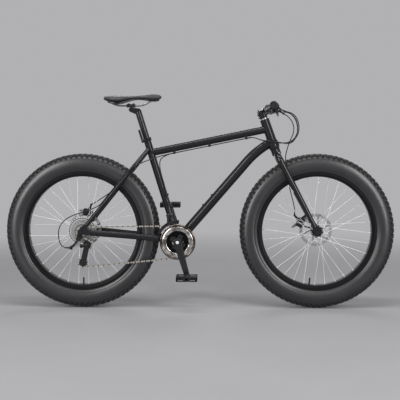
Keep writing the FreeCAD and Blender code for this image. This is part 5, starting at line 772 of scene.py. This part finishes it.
def buildPedal(name, place, sign, body):
    form = pedalForm
    mesh = bmesh.new()
    outward = Vector((0, 1, 0))
    half = form["high"] / 2
    columns, rows = form["columns"], form["rows"]
    windows = ((columns[1], columns[2]), (columns[3], columns[4]))
    toSide = Matrix(((1, 0, 0, -form["long"] / 2), (0, 0, 1, 0), (0, 1, 0, -half), (0, 0, 0, 1)))
    for out in (0.0, form["wide"] - form["wall"]):
        verts = gridWall(mesh, columns, rows, form["wall"], windows)
        bmesh.ops.transform(mesh, matrix=Matrix.Translation((0, out, 0)) @ toSide, verts=verts)
        bevelCreases(mesh, verts, form["bevel"])
    run = [form["wide"] * step / form["teeth"] for step in range(form["teeth"] + 1)]
    toEnd = Matrix(((0, 0, 1, 0), (1, 0, 0, 0), (0, 1, 0, -half), (0, 0, 0, 1)))
    for along in (-form["long"] / 2, form["long"] / 2 - form["wall"]):
        verts = gridWall(mesh, run, [0, half, form["high"]], form["wall"])
        for vert in verts:
            step = run.index(min(run, key=lambda value: abs(value - vert.co.x)))
            if step % 2 == 0 and vert.co.y != half:
                vert.co.y += form["tooth"] * (1 if vert.co.y < half else -1)
        bmesh.ops.transform(mesh, matrix=Matrix.Translation((along, 0, 0)) @ toEnd, verts=verts)
        bevelCreases(mesh, verts, form["bevel"] / 2)
    barrelLength = form["wide"] - form["barrelShort"]
    addCollar(mesh, outward * form["barrelInset"], outward, form["barrel"], barrelLength)
    capStart = outward * (form["wide"] - form["wall"])
    addCollar(mesh, capStart, outward, form["barrel"] * form["capShare"], form["wall"])
    web = bmesh.ops.create_cube(mesh, size=1.0)["verts"]
    webSize = (form["long"] - form["wall"], form["wall"], form["high"] * form["webShare"])
    bmesh.ops.scale(mesh, vec=webSize, verts=web)
    bmesh.ops.translate(mesh, vec=(0, form["wide"] / 2, 0), verts=web)
    bevelCreases(mesh, web, form["bevel"])
    bmesh.ops.scale(mesh, vec=(1, sign, 1), verts=mesh.verts)
    bmesh.ops.translate(mesh, vec=(place[0], sign * form["start"], place[1]), verts=mesh.verts)
    piece = newPiece(name, mesh, ["black_plastic"])
    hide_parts(body)
    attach(piece, body)


buildPedal("right_cage_pedal", (-0.05664, 0.16359), -1, "pedal_right")
buildPedal("left_cage_pedal", (-0.15036, 0.49041), 1, "pedal_left")
print("pedals ready")

earForm = {"centre": (0.2865, 0.0, 0.9338), "size": (0.014, 0.022, 0.034), "lean": -20.0, "bevel": 0.002,
           "bolt": 0.0042, "boltLength": 0.028, "bolts": [(0.2842, 0.9247), (0.2782, 0.9412)]}
mesh = bmesh.new()
block = bmesh.ops.create_cube(mesh, size=1.0)["verts"]
bmesh.ops.scale(mesh, vec=earForm["size"], verts=block)
lean = Matrix.Rotation(math.radians(earForm["lean"]), 3, "Y")
bmesh.ops.rotate(mesh, cent=(0, 0, 0), matrix=lean, verts=block)
bmesh.ops.translate(mesh, vec=earForm["centre"], verts=block)
bevelCreases(mesh, block, earForm["bevel"])
ears = newPiece("stem_ears", mesh, ["gloss_black"])
mesh = bmesh.new()
for x, z in earForm["bolts"]:
    boltStart = Vector((x, -earForm["boltLength"] / 2, z))
    addCollar(mesh, boltStart, Vector((0, 1, 0)), earForm["bolt"], earForm["boltLength"])
bolts = newPiece("stem_bolts", mesh, ["bearing_steel"])
for piece, slotName in ((ears, "cockpit_black"), (bolts, "bearing_steel")):
    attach(piece, "steering")
print("stem ears ready")


def seenRays(wire):
    camera, glossy, through = [wire.add("LightPath", output="Is " + kind + " Ray")
                               for kind in ("Camera", "Glossy", "Transmission")]
    return camera + glossy + through


backdrop = {"colour": (0.44, 0.44, 0.455), "near": 1.5, "far": 4.0, "radius": 40.0,
            "ambient": (0.80, 0.80, 0.82, 1.0), "ambientStrength": 0.24}
floorSkin = {"dark": (0.43, 0.43, 0.445), "light": (0.47, 0.47, 0.485), "cloud": (3.0, 4.0),
             "dulling": (8.0, 3.0), "rough": (0.6, 0.7), "grain": (220.0, 3.0), "bump": (0.05, 0.0005)}
floorMesh = bmesh.new()
bmesh.ops.create_circle(floorMesh, cap_ends=True, segments=96, radius=backdrop["radius"])
shader, place = newMaterial("floor", {"Specular IOR Level": 0.15})
connect(shader, {
    "Base Color": mixed(noise(place, *floorSkin["cloud"]), floorSkin["dark"], floorSkin["light"]),
    "Roughness": between(noise(place, *floorSkin["dulling"]), floorSkin["rough"]),
    "Normal": bumped(noise(place, *floorSkin["grain"]), *floorSkin["bump"]),
})
# the floor fades into the plain backdrop with distance
floorX, floorY, _ = split(place)
far = ramp((floorX * floorX + floorY * floorY) ** 0.5, backdrop["near"], backdrop["far"])
plain = place.add("Emission", {"Color": (*backdrop["colour"], 1.0), "Strength": 1.0})
surface = place.add("MixShader", {0: far * seenRays(place), 1: Wire(place.tree, shader.outputs[0]), 2: plain})
connect(place.tree.nodes["Material Output"], {"Surface": surface})
floor = newPiece("floor", floorMesh, ["floor"])

world = bpy.data.worlds.new("studio")
bpy.context.scene.world = world
world.use_nodes = True
sky = Wire(world.node_tree)
ambient = sky.add("Background", {"Color": backdrop["ambient"], "Strength": backdrop["ambientStrength"]})
shown = sky.add("Background", {"Color": (*backdrop["colour"], 1.0), "Strength": 1.0})
blended = sky.add("MixShader", {0: seenRays(sky), 1: ambient, 2: shown})
connect(world.node_tree.nodes["World Output"], {"Surface": blended})


def stand(name, data, place, aim):
    placed = bpy.data.objects.new(name, data)
    placed.location = place
    placed.rotation_euler = (Vector(aim) - Vector(place)).to_track_quat("-Z", "Y").to_euler()
    bpy.context.scene.collection.objects.link(placed)
    return placed


lamps = [
    {"name": "overhead", "place": (-0.1, -0.9, 3.1), "aim": (0.0, 0.0, 0.4), "size": (2.8, 0.5),
     "energy": 36.0},
    {"name": "frontal", "place": (0.3, -4.4, 2.9), "aim": (0.0, 0.0, 0.5), "size": (1.6, 0.7), "energy": 9.0},
    {"name": "sideLeft", "place": (-2.5, -3.15, 1.75), "aim": (-0.3, 0.0, 0.5), "size": (0.9, 3.0),
     "energy": 70.0},
    {"name": "sideRight", "place": (2.65, -3.15, 1.75), "aim": (0.3, 0.0, 0.5), "size": (0.9, 3.0),
     "energy": 70.0},
    {"name": "behind", "place": (0.3, 2.9, 2.5), "aim": (0.0, 0.0, 0.5), "size": (2.4, 0.8), "energy": 20.0},
]
for lamp in lamps:
    data = bpy.data.lights.new(lamp["name"], "AREA")
    data.energy = lamp["energy"]
    data.shape = "RECTANGLE"
    data.size, data.size_y = lamp["size"]
    stand(lamp["name"], data, lamp["place"], lamp["aim"])

cameraForm = {"place": (0.138, -5.09, 0.863), "aim": (0.002, 0.0, 0.524), "lens": 94.5, "sensor": 36.0}
cameraData = bpy.data.cameras.new("camera")
cameraData.lens = cameraForm["lens"]
cameraData.sensor_width = cameraForm["sensor"]
bpy.context.scene.camera = stand("camera", cameraData, cameraForm["place"], cameraForm["aim"])
bpy.context.scene.view_settings.view_transform = "Standard"
print("studio ready")
